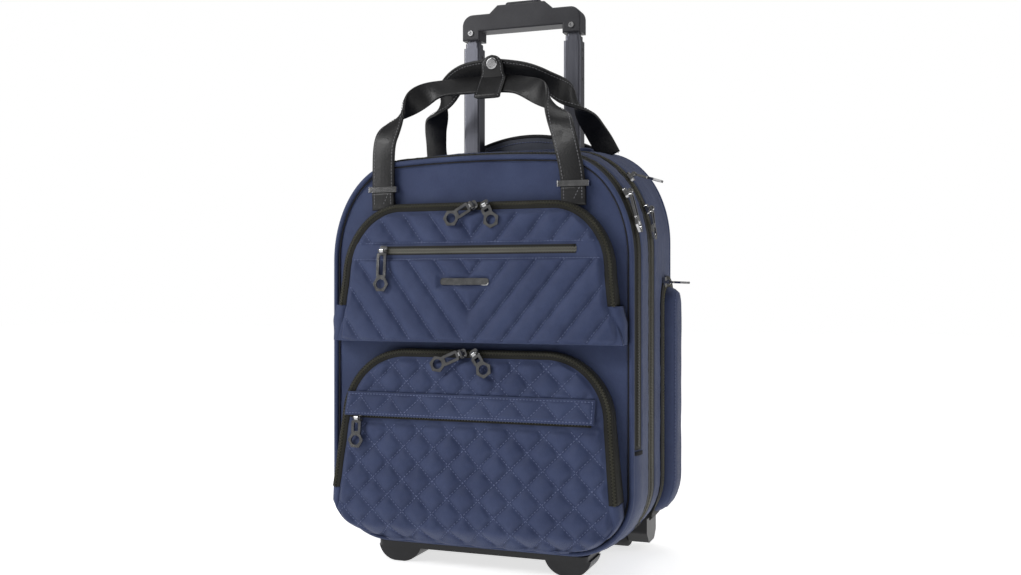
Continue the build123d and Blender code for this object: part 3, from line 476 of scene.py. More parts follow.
def section(depth, inset=0.0, lift=0.0):
    """The outline in case points, lifted off the case by an amount for each point."""
    loop = outline(depth, inset)
    loop = loop + outward(loop) * np.reshape(lift, (-1, 1))
    return columns(loop[:, 0], depth, loop[:, 1])


def rail(depth, lift=0.0, low_z=None, step=4.0, inset=0.0):
    """A line over the case at one depth, and its outward directions; open below low_z if given."""
    loop = outline(depth, inset)
    out = outward(loop)
    closed = low_z is None
    if not closed:
        start = next(i for i, (x, z) in enumerate(loop) if x > 0 and z >= low_z)
        loop, out = np.roll(loop, -start, 0), np.roll(out, -start, 0)
        keep = loop[:, 1] >= low_z
        loop, out = loop[keep], out[keep]
    rough = columns(loop[:, 0] + out[:, 0] * lift, depth, loop[:, 1] + out[:, 1] * lift)
    line = resample(rough, step, closed)
    return line, nearest(rough, columns(out[:, 0], 0, out[:, 1]), line)


BACKWARDS = np.array((0.0, 1.0, 0.0))
FORWARDS = -BACKWARDS
UP = np.array((0.0, 0.0, 1.0))
RIGHT = np.array((1.0, 0.0, 0.0))


def everywhere(direction, line):
    return np.broadcast_to(direction, line.shape).astype(float)


# ---- case skins ------------------------------------------------------------------------------------

EDGE_IN, EDGE_BACK = 8.0, 22.0


def front_inset(depth):
    """The front edge rounds in under the piping."""
    share = 1 - np.clip(np.asarray(depth, float) / EDGE_BACK, 0, 1)
    return EDGE_IN * (1 - np.sqrt(1 - share**2))


perimeter = np.concatenate(
    [[0], np.cumsum(np.linalg.norm(np.diff(outline(0), axis=0), axis=1))]
)
rest_z = outline(0)[:, 1]


def puff(depth, near, far, height, edge_and_groove_shade=2.2):
    """A strip of fabric between two seams, raised with rounded edges."""
    return height * smooth((depth - near) / edge_and_groove_shade) * smooth((far - depth) / edge_and_groove_shade)


def skin_lift(depth):
    """How far the fabric stands off the CAD outline at a depth, for each point round it."""
    above = smooth((rest_z - FRONT_ZIP_END_Z) / 6)
    over_main = smooth((rest_z - MAIN_ZIP_END_Z) / 6)
    front = puff(depth, -3, 50, 1.1) * (1 - above)
    front = front + above * (puff(depth, 19.0, 50, 1.3) + puff(depth, -3, 2.2, 0.6))
    back = puff(depth, 79, 400, 1.3)
    both = 1.1 * (1 - over_main) * puff(depth, 46, 84, 1)
    soft = 0.35 * ripple(perimeter, depth, 46, 1.0) + 0.2 * ripple(perimeter, depth, 19, 2.0)
    seams = sum(np.exp(-(((depth - s) / 4.0) ** 2)) for s in (20, 50, 79, 109))
    pucker = 0.22 * seams * np.sin(2 * math.pi * perimeter / 11 + 0.8 * np.sin(perimeter / 37))
    return front + back + both + soft + pucker


def ring_rows(stations, inset_of, wall):
    """Rows of a skin of some thickness: outside from front to back, then inside to the front again."""
    outside = [section(s, inset_of(s), skin_lift(s)) for s in stations]
    inside = [section(s, inset_of(s) + wall) for s in reversed(stations)]
    return outside, inside


front_stations = [0.3, 1.2, 2.2, 3, 5, 8, 11, 14, 17, 18.6, 19.4, 20.4, 21.6, 24, 28, 32, 36, 40, 44,
                  46.5, 48, 49, 50, 51, 54, 58, 62, 64.8]
outside, inside = ring_rows(front_stations, front_inset, WALL)
front_skin = skin("front_case_skin", np.array(outside + inside), NAVY, "front_section", True)
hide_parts("front_frame")


def back_inset(depth):
    """The case narrows a little to the rear, and its edge rounds in."""
    share = max(0.0, (depth - BACK_EDGE) / (BACK_DEPTH - BACK_EDGE))
    narrowing = 2.4 * float(smooth((depth - 95) / 60))
    return narrowing + (BACK_ROUNDING - 2.4) * (1 - math.sqrt(max(0.0, 1 - share * share)))


back_stations = [65.2, 68, 72, 76, 78, 79, 80, 81.2, 83, 86, 90, 95, 100, 104, 107, 109, 111, 115, 120,
                 126, 132, 138, 144, 150, 156, 160, 163, 166, 169, 172, 174.5, 176.5, 178, 179.2, 180]
outside, inside = ring_rows(back_stations, back_inset, WALL)
centre = np.array((0.0, 0.0, 240.0))


# how near to its middle each row of the back lies, close together at the edge and at the middle
CLOSING_SHARES = (
    0.985, 0.96, 0.93, 0.89, 0.84, 0.78, 0.7, 0.6, 0.5, 0.4, 0.3, 0.2, 0.1, 0.03, 0.006, 0.0012,
)


def closing(loop, depth, puffed):
    """Rows from a loop in to its middle, across the back."""
    rows = []
    for share in CLOSING_SHARES:
        row = centre + (loop - centre) * share
        puff_here = 2.2 * smooth((1 - share) / 0.1) * puffed
        faded = smooth((1 - share) / 0.05) * smooth(share / 0.4)
        soft = 0.5 * ripple(row[:, 0], row[:, 2], 60, 4.0) * puffed * faded
        row[:, 1] = depth + puff_here + soft
        rows.append(row)
    return rows


back_rows = outside + closing(outside[-1], 180.0, 1)
back_rows += list(reversed(closing(inside[0], 177.0, 0))) + inside
back_skin = skin("back_case_skin", np.array(back_rows), NAVY, None, True)


def carve(target, *cutters):
    """Cuts closed forms out of a piece for good."""
    for cutter in cutters:
        cut = target.modifiers.new("Cut", "BOOLEAN")
        cut.operation, cut.solver, cut.object = "DIFFERENCE", "EXACT", cutter
    bpy.context.view_layer.update()
    shown = target.evaluated_get(bpy.context.evaluated_depsgraph_get())
    mesh = bpy.data.meshes.new_from_object(shown)
    target.modifiers.clear()
    target.data = mesh
    for cutter in cutters:
        bpy.data.objects.remove(cutter)


def block(name, profile, near_x, far_x):
    """A prism across the case from a profile of (depth, z) points."""
    profile = np.array(profile, float)
    rows = np.array([columns(x, profile[:, 0], profile[:, 1]) for x in (near_x, far_x)])
    return skin(name, rows, NAVY)


well = [(138, 18), (150, 8), (176, 8), (186, 17), (186, 46), (177, 56.4), (138, 56.4)]
tubes = [(136, 430), (158, 430), (158, 475), (136, 475)]
carve(
    back_skin,
    block("cut_a", well, 98, 150), block("cut_b", well, -150, -98),
    block("cut_c", tubes, 51, 73), block("cut_d", tubes, -73, -51),
)
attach(back_skin, "case")
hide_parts("back_shell")

# ---- piping ----------------------------------------------------------------------------------------

line, out = rail(-1.2, 0, step=5, inset=4.2)
front_piping = tube("front_piping_cord", line, 2.7, out, NAVY, "front_section", True, 12)
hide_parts("front_piping")
# The inner black strip, just inside the cord, is painted shade: a dark ribbon laid in the groove between the
# front panel and the cord. The outer black strip runs along the side just behind the cord.
for name, depth, inset, width in (("inner", -0.7, 7.7, 1.8), ("outer", 3.0, 3.4, 3.6)):
    line, out = rail(depth, 0, step=5, inset=inset)
    across = out if name == "inner" else everywhere(BACKWARDS, line)
    up = everywhere(FORWARDS, line) if name == "inner" else out
    sweep(f"piping_{name}_edge", line, across, up, rounded(width, 1.3, 0.5), BINDING_AND_GROOVE_SHADE, "front_section",
          True)
line, out = rail(174, 0, step=5, inset=back_inset(174) - 1.2)
tube("rear_piping_cord", line, 2.3, out, NAVY, "case", True, 10)

# ---- zips round the case ---------------------------------------------------------------------------


def tape(name, depths, low_z, body, lift=0.5):
    """A zip tape lying over the case between two depths, with a raised edge along each seam."""
    middle, width = sum(depths) / 2, depths[1] - depths[0]
    line, out = rail(middle, lift, low_z, step=4, inset=front_inset(middle))
    half = width / 2
    profile = np.array([
        (-half, -1.2), (-half, 0.1), (-half + 0.8, 0.55), (-half + 1.8, 0.1), (-2.6, 0.1), (0, 0.25),
        (2.6, 0.1), (half - 1.8, 0.1), (half - 0.8, 0.55), (half, 0.1), (half, -1.2),
    ])
    profile[:, 1] += front_inset(middle) - front_inset(middle + profile[:, 0])
    return sweep(name, line, everywhere(BACKWARDS, line), out, profile, TAPE, body)


tape("front_zip_tape", FRONT_ZIP, FRONT_ZIP_END_Z, "front_section")
line, out = rail(10.5, 0.7, FRONT_ZIP_END_Z + 4, step=2, inset=front_inset(10.5))
chain("front_zip_coil", line, out, "front_section", COIL)
near_tape = tape("main_zip_tape_front", (MAIN_ZIP[0], 64.8), MAIN_ZIP_END_Z, "front_section")
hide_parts("front_zip_tapes")
tape("main_zip_tape_back", (65.2, MAIN_ZIP[1]), MAIN_ZIP_END_Z, "case")
for side, depth, body in (("front", 63.2, "front_section"), ("back", 66.8, "case")):
    line, out = rail(depth, 0.8, MAIN_ZIP_END_Z + 3, step=2)
    chain(f"main_zip_coil_{side}", line, out, body, OLIVE_COIL, 1.7, 2.4, 0.9)

# bar tacks where the tapes end, left and right
for side in (-1, 1):
    for name, depths, z, body in (
        ("front", (1.5, 19.5), FRONT_ZIP_END_Z, "front_section"),
        ("main_front", (49, 64.8), MAIN_ZIP_END_Z, "front_section"),
        ("main_back", (65.2, 80), MAIN_ZIP_END_Z, "case"),
    ):
        around = outline(sum(depths) / 2)
        x = np.interp(z, around[24:110, 1], around[24:110, 0])
        width = depths[1] - depths[0]
        along = depths[0] + 1 + np.arange(int(width) - 1)
        places = columns(side * (x + 1.9 - front_inset(along)), along, z)
        stand = everywhere(np.array((side, 0.0, 0.0)), places)
        copies(f"{name}_tack_{'left' if side < 0 else 'right'}", capsule(4.4, 0.55), places,
               everywhere(UP, places), stand, BINDING_AND_GROOVE_SHADE, body)

# ---- front panel -----------------------------------------------------------------------------------


def panel_grid(inset, count_x, count_z, depth, relief=None):
    """A grid over the case's section: rows climb, and each is as wide as the outline there."""
    loop = outline(max(depth, 0), inset)
    half = loop[: len(loop) // 2 + 1]
    share = 0.5 - 0.5 * np.cos(np.linspace(0.02, math.pi - 0.02, count_z))
    z = half[0, 1] + (half[-1, 1] - half[0, 1]) * share
    upper = np.argmax(half[:, 1] >= 200)
    width = np.where(
        z < 200,
        np.interp(z, half[24:upper + 1, 1], half[24:upper + 1, 0]),
        np.interp(z, half[upper:-1, 1], half[upper:-1, 0]),
    )
    u = np.linspace(-1, 1, count_x)
    x, z = u[None] * width[:, None], np.repeat(z[:, None], count_x, 1)
    push = 0 if relief is None else relief(x, z)
    return columns(x, depth + push, z)


def slack(x, z):
    """Soft unevenness of a flat stretched panel."""
    return -0.5 * ripple(x, z, 90, 3.0) - 0.25 * ripple(x, z, 31, 5.0)


front_panel = shell("front_panel_cloth", panel_grid(7, 90, 110, 0.4, slack), panel_grid(7, 90, 110, 3.0),
                    NAVY, "front_section")
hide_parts("front_panel")

# ---- pockets on the front --------------------------------------------------------------------------


def out_of(profile, z):
    """How far a pocket stands in front of the panel at a height."""
    heights, outs = zip(*profile)
    return np.interp(z, heights, outs)


def arch(pocket, inset, step=3.0, drop=0.0):
    """A pocket's edge from its left sill over the top, with inward directions, as (x, z)."""
    turn_z, half, low = pocket["turn"], pocket["high"], pocket["low"]
    reach, wide, tall = half - pocket["corner"], pocket["corner"] - inset, pocket["top"] - turn_z - inset
    lean = (low - half) / (turn_z - pocket["sill"])
    turn = np.radians(np.linspace(180, 90, 24))
    left = [(-low + inset - lean * drop, pocket["sill"] - drop), (-half + inset, turn_z)]
    left += [(-reach + wide * math.cos(a), turn_z + tall * math.sin(a)) for a in turn[1:]]
    loop = np.array(left + [(-x, z) for x, z in reversed(left)])
    line = resample(columns(loop[:, 0], 0, loop[:, 1]), step)
    along = headings(line)
    return line, columns(along[:, 2], 0, -along[:, 0])


def pocket_width(pocket, z):
    """Half the quilted panel's width at a height."""
    inset = BAND - 0.6
    turn_z, reach = pocket["turn"], pocket["high"] - pocket["corner"]
    wide, tall = pocket["corner"] - inset, pocket["top"] - pocket["turn"] - inset
    lean = (pocket["low"] - pocket["high"]) / (turn_z - pocket["sill"])
    side = pocket["high"] - inset + lean * np.clip(turn_z - z, 0, None)
    curve = reach + wide * np.sqrt(np.clip(1 - (np.clip(z - turn_z, 0, None) / tall) ** 2, 0, None))
    return np.where(z > turn_z, curve, side)


def upper_half(z):
    """The upper panel widens below the zip's ends to meet the seam."""
    flare = 12.4 * np.clip((UPPER["sill"] - z) / 39, 0, 1) ** 0.8
    return pocket_width(UPPER, np.maximum(z, UPPER["sill"])) + flare


def upper_sway(z):
    """The pocket's loose lower part hangs a little to the right."""
    return 3.5 * smooth((292 - z) / 50)


edge_low = outline(0, 8.0)[:90]


def lower_half(z):
    """The lower panel follows the case's round bottom corners."""
    under = np.interp(z, edge_low[24:90, 1], edge_low[24:90, 0])
    return np.minimum(pocket_width(LOWER, z) + 3 * smooth((LOWER["sill"] - z) / 30), under)


CHEVRON_SLOPE, CHEVRON_PITCH, CHEVRON_X, CHEVRON_Z = 1.28, 38.4, -1.0, 273.0
DIAMOND_X, DIAMOND_Z, DIAMOND_WIDE, DIAMOND_TALL = -40.5, 96.0, 34.4, 33.8


def chevron(x, z):
    return (z - CHEVRON_Z - CHEVRON_SLOPE * np.abs(x - CHEVRON_X)) / CHEVRON_PITCH


PUFF, CREASE, PULLED_IN = 4.4, 0.13, 1.6  # a pillow's height, its flat seam's share, and the drawn-in rim


def padding_between(x, z, rise, gather, wave, spread):
    """Padding over flat-bottomed seams, with small gathers along each."""
    gathers = gather * np.sin(x / 1.9 + 2 * np.sin(z / wave)) * np.exp(-((rise / spread) ** 2))
    return PUFF * np.clip((rise - CREASE) / (1 - CREASE), 0, 1) ** 0.55 + gathers


def upper_relief(x, z):
    """Chevron pillows, flat along the slip zip and drawn in at the edges."""
    rise = np.abs(np.sin(math.pi * chevron(x, z)))
    pillow = padding_between(x, z, rise, 0.35, 13, 0.4)
    lane = smooth((np.abs(z - 335.3) - 8.0) / 2.6)
    plate = smooth(np.maximum((np.abs(x - PLATE_X) - 26) / 6, (np.abs(z - PLATE_Z) - 4) / 5))
    lane = lane * plate
    beyond = np.abs(x - upper_sway(z))
    edge_and_groove_shade = np.minimum(smooth((upper_half(z) - beyond) / 7), smooth((378 - z) / 7))
    edge_and_groove_shade = np.minimum(edge_and_groove_shade, smooth((z - 239) / 6))
    wave = 0.35 * ripple(x, z, 34, 6.0) + 0.18 * ripple(x, z, 11, 7.0)
    gap = 0.9 * plate * np.exp(-(((np.abs(z - 335.5) - 7.6) / 1.1) ** 2)) * (np.abs(x) < 113)
    tuck = 5 * smooth((beyond - 132) / 26) * smooth((272 - z) / 26)
    return (pillow + wave) * lane * edge_and_groove_shade - PULLED_IN * (1 - edge_and_groove_shade) - gap + 0.5 * (1 - lane) - tuck


def diamond_pillows(x, z):
    """Padding between two sets of slanting seams, drawn down in small puckers along them."""
    a = (x - DIAMOND_X) / DIAMOND_WIDE + (z - DIAMOND_Z) / DIAMOND_TALL
    b = (x - DIAMOND_X) / DIAMOND_WIDE - (z - DIAMOND_Z) / DIAMOND_TALL
    rise = np.abs(np.sin(math.pi * a)) * np.abs(np.sin(math.pi * b))
    return padding_between(x, z, rise, 0.3, 11, 0.3)


def lower_relief(x, z):
    """Diamond pillows, drawn in at the edges and flat behind the flap."""
    behind = smooth((z - 150) / 4) * smooth((189 - z) / 3) * smooth((139 - x) / 6)
    pillow = diamond_pillows(x, z) * (1 - 0.85 * behind)
    edge_and_groove_shade = np.minimum(smooth((lower_half(z) - np.abs(x)) / 7), smooth((224 - z) / 7))
    wave = 0.35 * ripple(x, z, 40, 8.0) + 0.18 * ripple(x, z, 12, 9.0)
    return (pillow + wave) * edge_and_groove_shade - PULLED_IN * (1 - edge_and_groove_shade)


def lower_out(z):
    """The lower pocket rounds in to the bottom seam."""
    tuck = smooth((z - 20) / 30)
    return out_of(LOWER_OUT, z) * tuck + 4 * (1 - tuck)


def upper_out(z):
    return out_of(UPPER_OUT, z)


def quilt(name, half, sway, out, relief, low, high, turn_z, step):
    """A quilted panel of even thickness."""
    rows = int((high - low) / step)
    share = np.linspace(0, 1, rows)
    bend = (turn_z - low) / (high - low)
    z = low + (high - low) * np.where(share < bend, share, bend + (1 - bend) * np.sin(
        math.pi / 2 * (share - bend) / (1 - bend)))
    z = np.minimum(z, high - 0.02)
    u = np.linspace(-1, 1, int(310 / step))
    x = u[None] * half(z)[:, None] + sway(z)[:, None]
    z = np.repeat(z[:, None], len(u), 1)
    front = columns(x, -(out(z) + relief(x, z)), z)
    back = columns(x, -(out(z) - 3.0), z)
    return shell(name, front, back, QUILT, None)


upper_quilt = quilt(
    "upper_pocket_quilt", upper_half, upper_sway, upper_out, upper_relief, 240.0, 377.5, 335, 1.35,
)
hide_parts("upper_pocket_panel", "upper_pocket_base")
lower_quilt = quilt(
    "lower_pocket_quilt", lower_half, np.zeros_like, lower_out, lower_relief, 28.2, 223.5, 172, 1.5,
)
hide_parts("lower_pocket_panel", "lower_pocket_base")


def seam_lines(inside, traces):
    """The stretches of some (x, z) lines that lie on a panel."""
    found = []
    for trace in traces:
        keep = inside(trace[:, 0], trace[:, 1])
        cuts = np.flatnonzero(np.diff(keep.astype(int))) + 1
        for part, flags in zip(np.split(trace, cuts), np.split(keep, cuts)):
            if flags[0] and len(part) > 8:
                found.append(part)
    return found


def quilt_stitches(name, out, relief, traces, inside, split_z, lower_body, upper_body, pitch=3.8):
    """The quilting's thread, in one piece a body."""
    t_low, t_high = [], []
    for part in seam_lines(inside, traces):
        x, z = part[:, 0], part[:, 1]
        even = resample(columns(x, -(out(z) + relief(x, z) + 0.45), z), pitch)
        if len(even) < 4:
            continue
        along = headings(even)
        high = even[:, 2] > split_z
        t_high.append((even[high], along[high]))
        t_low.append((even[~high], along[~high]))
    for label, found, body in (("door", t_high, upper_body), ("base", t_low, lower_body)):
        places = np.concatenate([p for p, _ in found])
        along = np.concatenate([a for _, a in found])
        copies(f"{name}_{label}_thread", capsule(2.2, 0.38), places, along, everywhere(FORWARDS, places),
               THREAD, body)


x_line = np.linspace(-165, 165, 661)
chevrons = [
    np.stack([x_line, CHEVRON_Z + CHEVRON_PITCH * n + CHEVRON_SLOPE * np.abs(x_line - CHEVRON_X)], 1)
    for n in range(-7, 4)
]
quilt_stitches(
    "upper_quilting", upper_out, upper_relief, chevrons,
    lambda x, z: (np.abs(x - upper_sway(z)) < upper_half(z) - 4) & (z > 243) & (z < 374)
    & (np.abs(z - 335.3) > 9.5) & ((np.abs(x - PLATE_X) > 31) | (np.abs(z - PLATE_Z) > 8)),
    272, "front_section", "upper_pocket_door",
)
diamonds = [
    np.stack([x_line, DIAMOND_Z + DIAMOND_TALL * (n + lean * (x_line - DIAMOND_X) / DIAMOND_WIDE)], 1)
    for n in range(-9, 10)
    for lean in (-1, 1)
]
quilt_stitches(
    "lower_quilting", lower_out, lower_relief, diamonds,
    lambda x, z: (np.abs(x) < lower_half(z) - 4) & (z > 36) & (z < 220) & ((z < 152) | (z > 187)),
    79, "front_section", "lower_pocket_door",
)

for pocket, quilted, hinge_z, hinge_out, door in (
    ("upper", upper_quilt, 278.7, 19, "upper_pocket_door"),
    ("lower", lower_quilt, 83.7, 26, "lower_pocket_door"),
):
    start = (columns(0, -hinge_out, hinge_z - 7) + ORIGIN) / 1000
    end = (columns(0, -hinge_out, hinge_z + 7) + ORIGIN) / 1000
    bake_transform(quilted)


def pocket_rim(name, pocket, out, door):
    """The zip round a pocket door: a tape in front, its coil, and the side wall back to the panel."""
    line, inward = arch(pocket, 0)
    line[:, 2] = np.maximum(line[:, 2], pocket["sill"])
    stand = out(line[:, 2])[:, None]
    profile = np.zeros((len(line), 10, 2))
    for k, (across, behind) in enumerate((
        (BAND + 1, 1.9), (BAND - 0.4, 0.9), (BAND - 1.6, 0.45), (3.6, 0.75), (1.0, 0.75), (0, 1.7),
    )):
        profile[:, k] = np.concatenate([np.full_like(stand, across), stand - behind], 1)
    for k, (across, height) in enumerate(((0, 0.5), (1.2, 0.5), (1.2, None), (BAND + 1, None)), start=6):
        top = stand - 3.2 if height is None else np.full_like(stand, height)
        profile[:, k] = np.concatenate([np.full_like(stand, across), top], 1)
    made = sweep(f"{name}_zip_tape", line, inward, everywhere(FORWARDS, line), profile, TAPE, door)
    coil = line + inward * 3.0 + FORWARDS * (stand - 0.7)
    chain(f"{name}_zip_coil", coil, FORWARDS, door, COIL, 1.6, 3.0, 0.8)
    return made


upper_rim = pocket_rim("upper_pocket", UPPER, upper_out, "upper_pocket_door")
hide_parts("upper_pocket_zips")
lower_rim = pocket_rim("lower_pocket", LOWER, lower_out, "lower_pocket_door")
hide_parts("lower_pocket_zips")


def gusset(name, half, sway, out, outer, low, high, side):
    """The plain side of a pocket below its zip, from the quilted face back to the panel."""
    z = np.linspace(low, high, 24)
    face, edge_and_groove_shade = half(z) - 1.5 + side * sway(z), outer(z)
    stand = out(z) - 5 * smooth((272 - z) / 26) * (z > 200)
    soft = 0.4 * ripple(z, z * 0.3, 17, side)
    front = np.stack([
        columns(side * face, -(stand - 0.8), z),
        columns(side * (face * 0.4 + edge_and_groove_shade * 0.6), -(stand - 1.4 + soft), z),
        columns(side * edge_and_groove_shade, -(stand - 3.5), z),
        columns(side * (edge_and_groove_shade + 0.6 + soft), -(stand * 0.5), z),
        columns(side * edge_and_groove_shade, -0.2, z),
    ], 1)
    back = front + np.stack([
        everywhere(BACKWARDS * 2, z[:, None] * [1, 1, 1]),
        everywhere(BACKWARDS * 2, z[:, None] * [1, 1, 1]),
        everywhere(np.array((-side * 1.5, 1.5, 0)), z[:, None] * [1, 1, 1]),
        everywhere(np.array((-side * 2.0, 0, 0)), z[:, None] * [1, 1, 1]),
        everywhere(np.array((-side * 2.0, 0, 0)), z[:, None] * [1, 1, 1]),
    ], 1)
    label = "left" if side < 0 else "right"
    return shell(f"{name}_gusset_{label}", front, back, NAVY, "front_section")


def upper_outer(z):
    return 158 + 4 * smooth((UPPER["sill"] - z) / 20)


def lower_outer(z):
    under = np.interp(z, edge_low[24:90, 1], edge_low[24:90, 0]) + 1
    return np.minimum(LOWER["low"] + 2 * (LOWER["sill"] - z) / 30, under)


for side in (-1, 1):
    gusset("upper", upper_half, upper_sway, upper_out, upper_outer, 240.3, 278.4, side)
    gusset("lower", lower_half, np.zeros_like, lower_out, lower_outer, 50.0, 83.4, side)

# underside of the upper pocket, back to the panel
x = np.linspace(-153, 160, 60)
hem = -22.2 + 5 * smooth((np.abs(x - 3.5) - 132) / 26)
front = np.stack([columns(x, hem, 240.2), columns(x, -12, 239.4), columns(x, -0.3, 240.2)])
back = front + UP * 2
shell("upper_pocket_underside", front, back, NAVY, "front_section")

# slip zip across the upper pocket


def straight(x_range, z, out, lift):
    x = np.linspace(*x_range, 40)
    return columns(x, -(out(np.full(40, z)) + lift), z)


face_tilt = unit(np.array((0.0, -1.0, 0.084)))
line = straight(SLIP_X, SLIP_Z, upper_out, 0.4)
sweep("slip_zip_tape", line, everywhere(UP, line), everywhere(face_tilt, line), rounded(10.4, 0.9, 0.3), TAPE,
      "upper_pocket_door")
for side in (-1, 1):
    cord = straight((SLIP_X[0] + 3, SLIP_X[1]), SLIP_Z + side * 1.35, upper_out, 0.95)
    label = "low" if side < 0 else "high"
    chain(f"slip_coil_{label}", cord, face_tilt, "upper_pocket_door", STEEL_COIL, 1.5, 2.3, 0.9)
for label, z in (("high", 344.2), ("low", 326.8)):
    half = float(upper_half(np.array(z))) - 5
    line = straight((-half, half), z, upper_out, 0.9)
    stitches(f"slip_stitch_{label}", line, FORWARDS, "upper_pocket_door", THREAD, 3.6)

# hidden zip under the lower pocket's flap
line = straight((FLAP_X[0] + 4, FLAP_X[1] - 4), FLAP_ZIP_Z, lower_out, 1.6)
sweep("flap_zip_tape", line, everywhere(UP, line), everywhere(FORWARDS, line), rounded(8, 1.0, 0.3), TAPE,
      "lower_pocket_door")
line = straight((FLAP_X[0] + 6, FLAP_X[1] - 6), FLAP_ZIP_Z, lower_out, 2.2)
chain("flap_zip_coil", line, FORWARDS, "lower_pocket_door", COIL, 1.6, 4.0, 0.8)

FLAP_LIFT, FLAP_SPREAD = 2.4, 4.4  # how far the flap stands off at its top, and how much more below


def flap_out(x, z):
    """The flap's quilted face: it hangs away from the pocket and is pressed flat along its seams."""
    share = (FLAP_Z[1] - z) / (FLAP_Z[1] - FLAP_Z[0])
    rim = np.minimum(np.minimum(x - FLAP_X[0], FLAP_X[1] - x), np.minimum(z - FLAP_Z[0], FLAP_Z[1] - z))
    padding = 0.6 * diamond_pillows(x, z) * smooth((rim - 1.2) / 4) + 0.4 * ripple(x, z, 60, 2.0)
    return lower_out(z) + FLAP_LIFT + FLAP_SPREAD * smooth(share) + padding


z, x = np.meshgrid(np.linspace(FLAP_Z[1], FLAP_Z[0], 26), np.linspace(*FLAP_X, 190), indexing="ij")
front = columns(x, -flap_out(x, z), z)
flap_cloth = shell("lower_pocket_flap_cloth", front, front + BACKWARDS * 2.2, QUILT, "pocket_flap")
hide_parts("pocket_flap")
for label, xs, zs in (
    ("top", (FLAP_X[0] + 3, FLAP_X[1] - 3), (FLAP_Z[1] - 2.2,) * 2),
    ("bottom", (FLAP_X[0] + 3, FLAP_X[1] - 3), (FLAP_Z[0] + 2.4,) * 2),
    ("left", (FLAP_X[0] + 2.6,) * 2, (FLAP_Z[1] - 4, FLAP_Z[0] + 4)),
    ("right", (FLAP_X[1] - 2.6,) * 2, (FLAP_Z[1] - 4, FLAP_Z[0] + 4)),
):
    x, z = np.linspace(*xs, 120), np.linspace(*zs, 120)
    line = columns(x, -flap_out(x, z) - 0.25, z)
    stitches(f"flap_stitch_{label}", line, FORWARDS, "pocket_flap", THREAD, 3.6, 2.2)


def on_flap(x, z):
    return (x > FLAP_X[0] + 6) & (x < FLAP_X[1] - 6) & (np.abs(z - 173.5) < 8)


flap_seams = [
    resample(columns(part[:, 0], -flap_out(part[:, 0], part[:, 1]) - 0.25, part[:, 1]), 3.8)
    for part in seam_lines(on_flap, diamonds)
]
places = np.concatenate(flap_seams)
along = np.concatenate([headings(line) for line in flap_seams])
copies("flap_quilting_thread", capsule(2.2, 0.38), places, along, everywhere(FORWARDS, places), THREAD,
       "pocket_flap")

# ---- side pocket -----------------------------------------------------------------------------------


def pocket_loop(grow):
    """The side pocket's rounded outline, grown outwards, as (depth, z), with points along its sides."""
    wide = POCKET_DEPTHS[1] - POCKET_DEPTHS[0] + 2 * grow
    tall = POCKET_Z[1] - POCKET_Z[0] + 2 * grow
    corners = np.split(rounded(wide, tall, min(20 + grow, 0.49 * wide) if grow > -20 else 0.49 * wide, 12), 4)
    filled = []
    for corner, following in zip(corners, corners[1:] + corners[:1]):
        filled += [corner, np.linspace(corner[-1], following[0], 26)[1:-1]]
    return np.concatenate(filled) + (sum(POCKET_DEPTHS) / 2, sum(POCKET_Z) / 2)


def beside(loop, stand):
    """Points standing off the case's right side, which turns in at the bottom corner."""
    below = np.clip(BOTTOM_Z + BOTTOM_RADIUS - loop[:, 1], 0, None)
    side = HALF_WIDTH - BOTTOM_RADIUS + np.sqrt(BOTTOM_RADIUS**2 - below**2)
    return columns(side + stand, loop[:, 0], loop[:, 1])


rows = []
for grow, stand in ((0, 0.5), (0.4, 3), (0, 6.5), (-1.6, 9.8), (-4, 12.4), (-7, 14.2), (-11, 15.2),
                    (-15, 15.5), (-18, 15.4), (-21, 15.4), (-22.3, 15.4), (-22.48, 15.4)):
    loop = pocket_loop(grow)
    rows.append(beside(loop, stand + 0.5 * ripple(loop[:, 0], loop[:, 1], 55, 3.0) * (grow < -2)))
for grow, stand in ((-22.48, 12.8), (-22.3, 12.8), (-14, 12.8), (-8, 11.6), (-4.4, 9), (-3.4, 6), (-3, 0.5)):
    rows.append(beside(pocket_loop(grow), stand))
side_cloth = skin("side_pocket_cloth", np.array(rows), NAVY, "side_pocket", True)
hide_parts("side_pocket")
rim = pocket_loop(-5.5)
line = resample(beside(rim, 13.7 + 0.5 * ripple(rim[:, 0], rim[:, 1], 55, 3.0)), 3, True)
stitches("side_pocket_stitch", line, RIGHT, "side_pocket", THREAD, 4.0, closed=True)
loop = pocket_loop(1.2)
line = resample(beside(loop, 1.8), 3, True)
tube("side_pocket_welt", line, 1.3, RIGHT, BINDING_AND_GROOVE_SHADE, "side_pocket", True, 8)

zip_line = pocket_loop(5.0)
keep = (zip_line[:, 1] >= POCKET_Z[0]) & (zip_line[:, 0] <= POCKET_DEPTHS[1])
loop = beside(zip_line, 1.6)[keep]
order = np.where(loop[:, 2] > POCKET_Z[1] - 20, 1e3 + loop[:, 1], loop[:, 2])  # up the front, then along the top
loop = loop[np.argsort(order, kind="stable")]
line = resample(loop, 3)
side_dir = unit(np.cross(RIGHT, headings(line)))
side_tape = sweep("side_zip_tape", line, side_dir, everywhere(RIGHT, line), rounded(16, 1.6, 0.5), TAPE,
                  "case")
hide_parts("case_zip_tapes")
chain("side_zip_coil", line - side_dir * 1.5 + RIGHT * 0.7, RIGHT, "case", OLIVE_COIL, 1.6, 4.4, 1.1)

# ---- handles ---------------------------------------------------------------------------------------


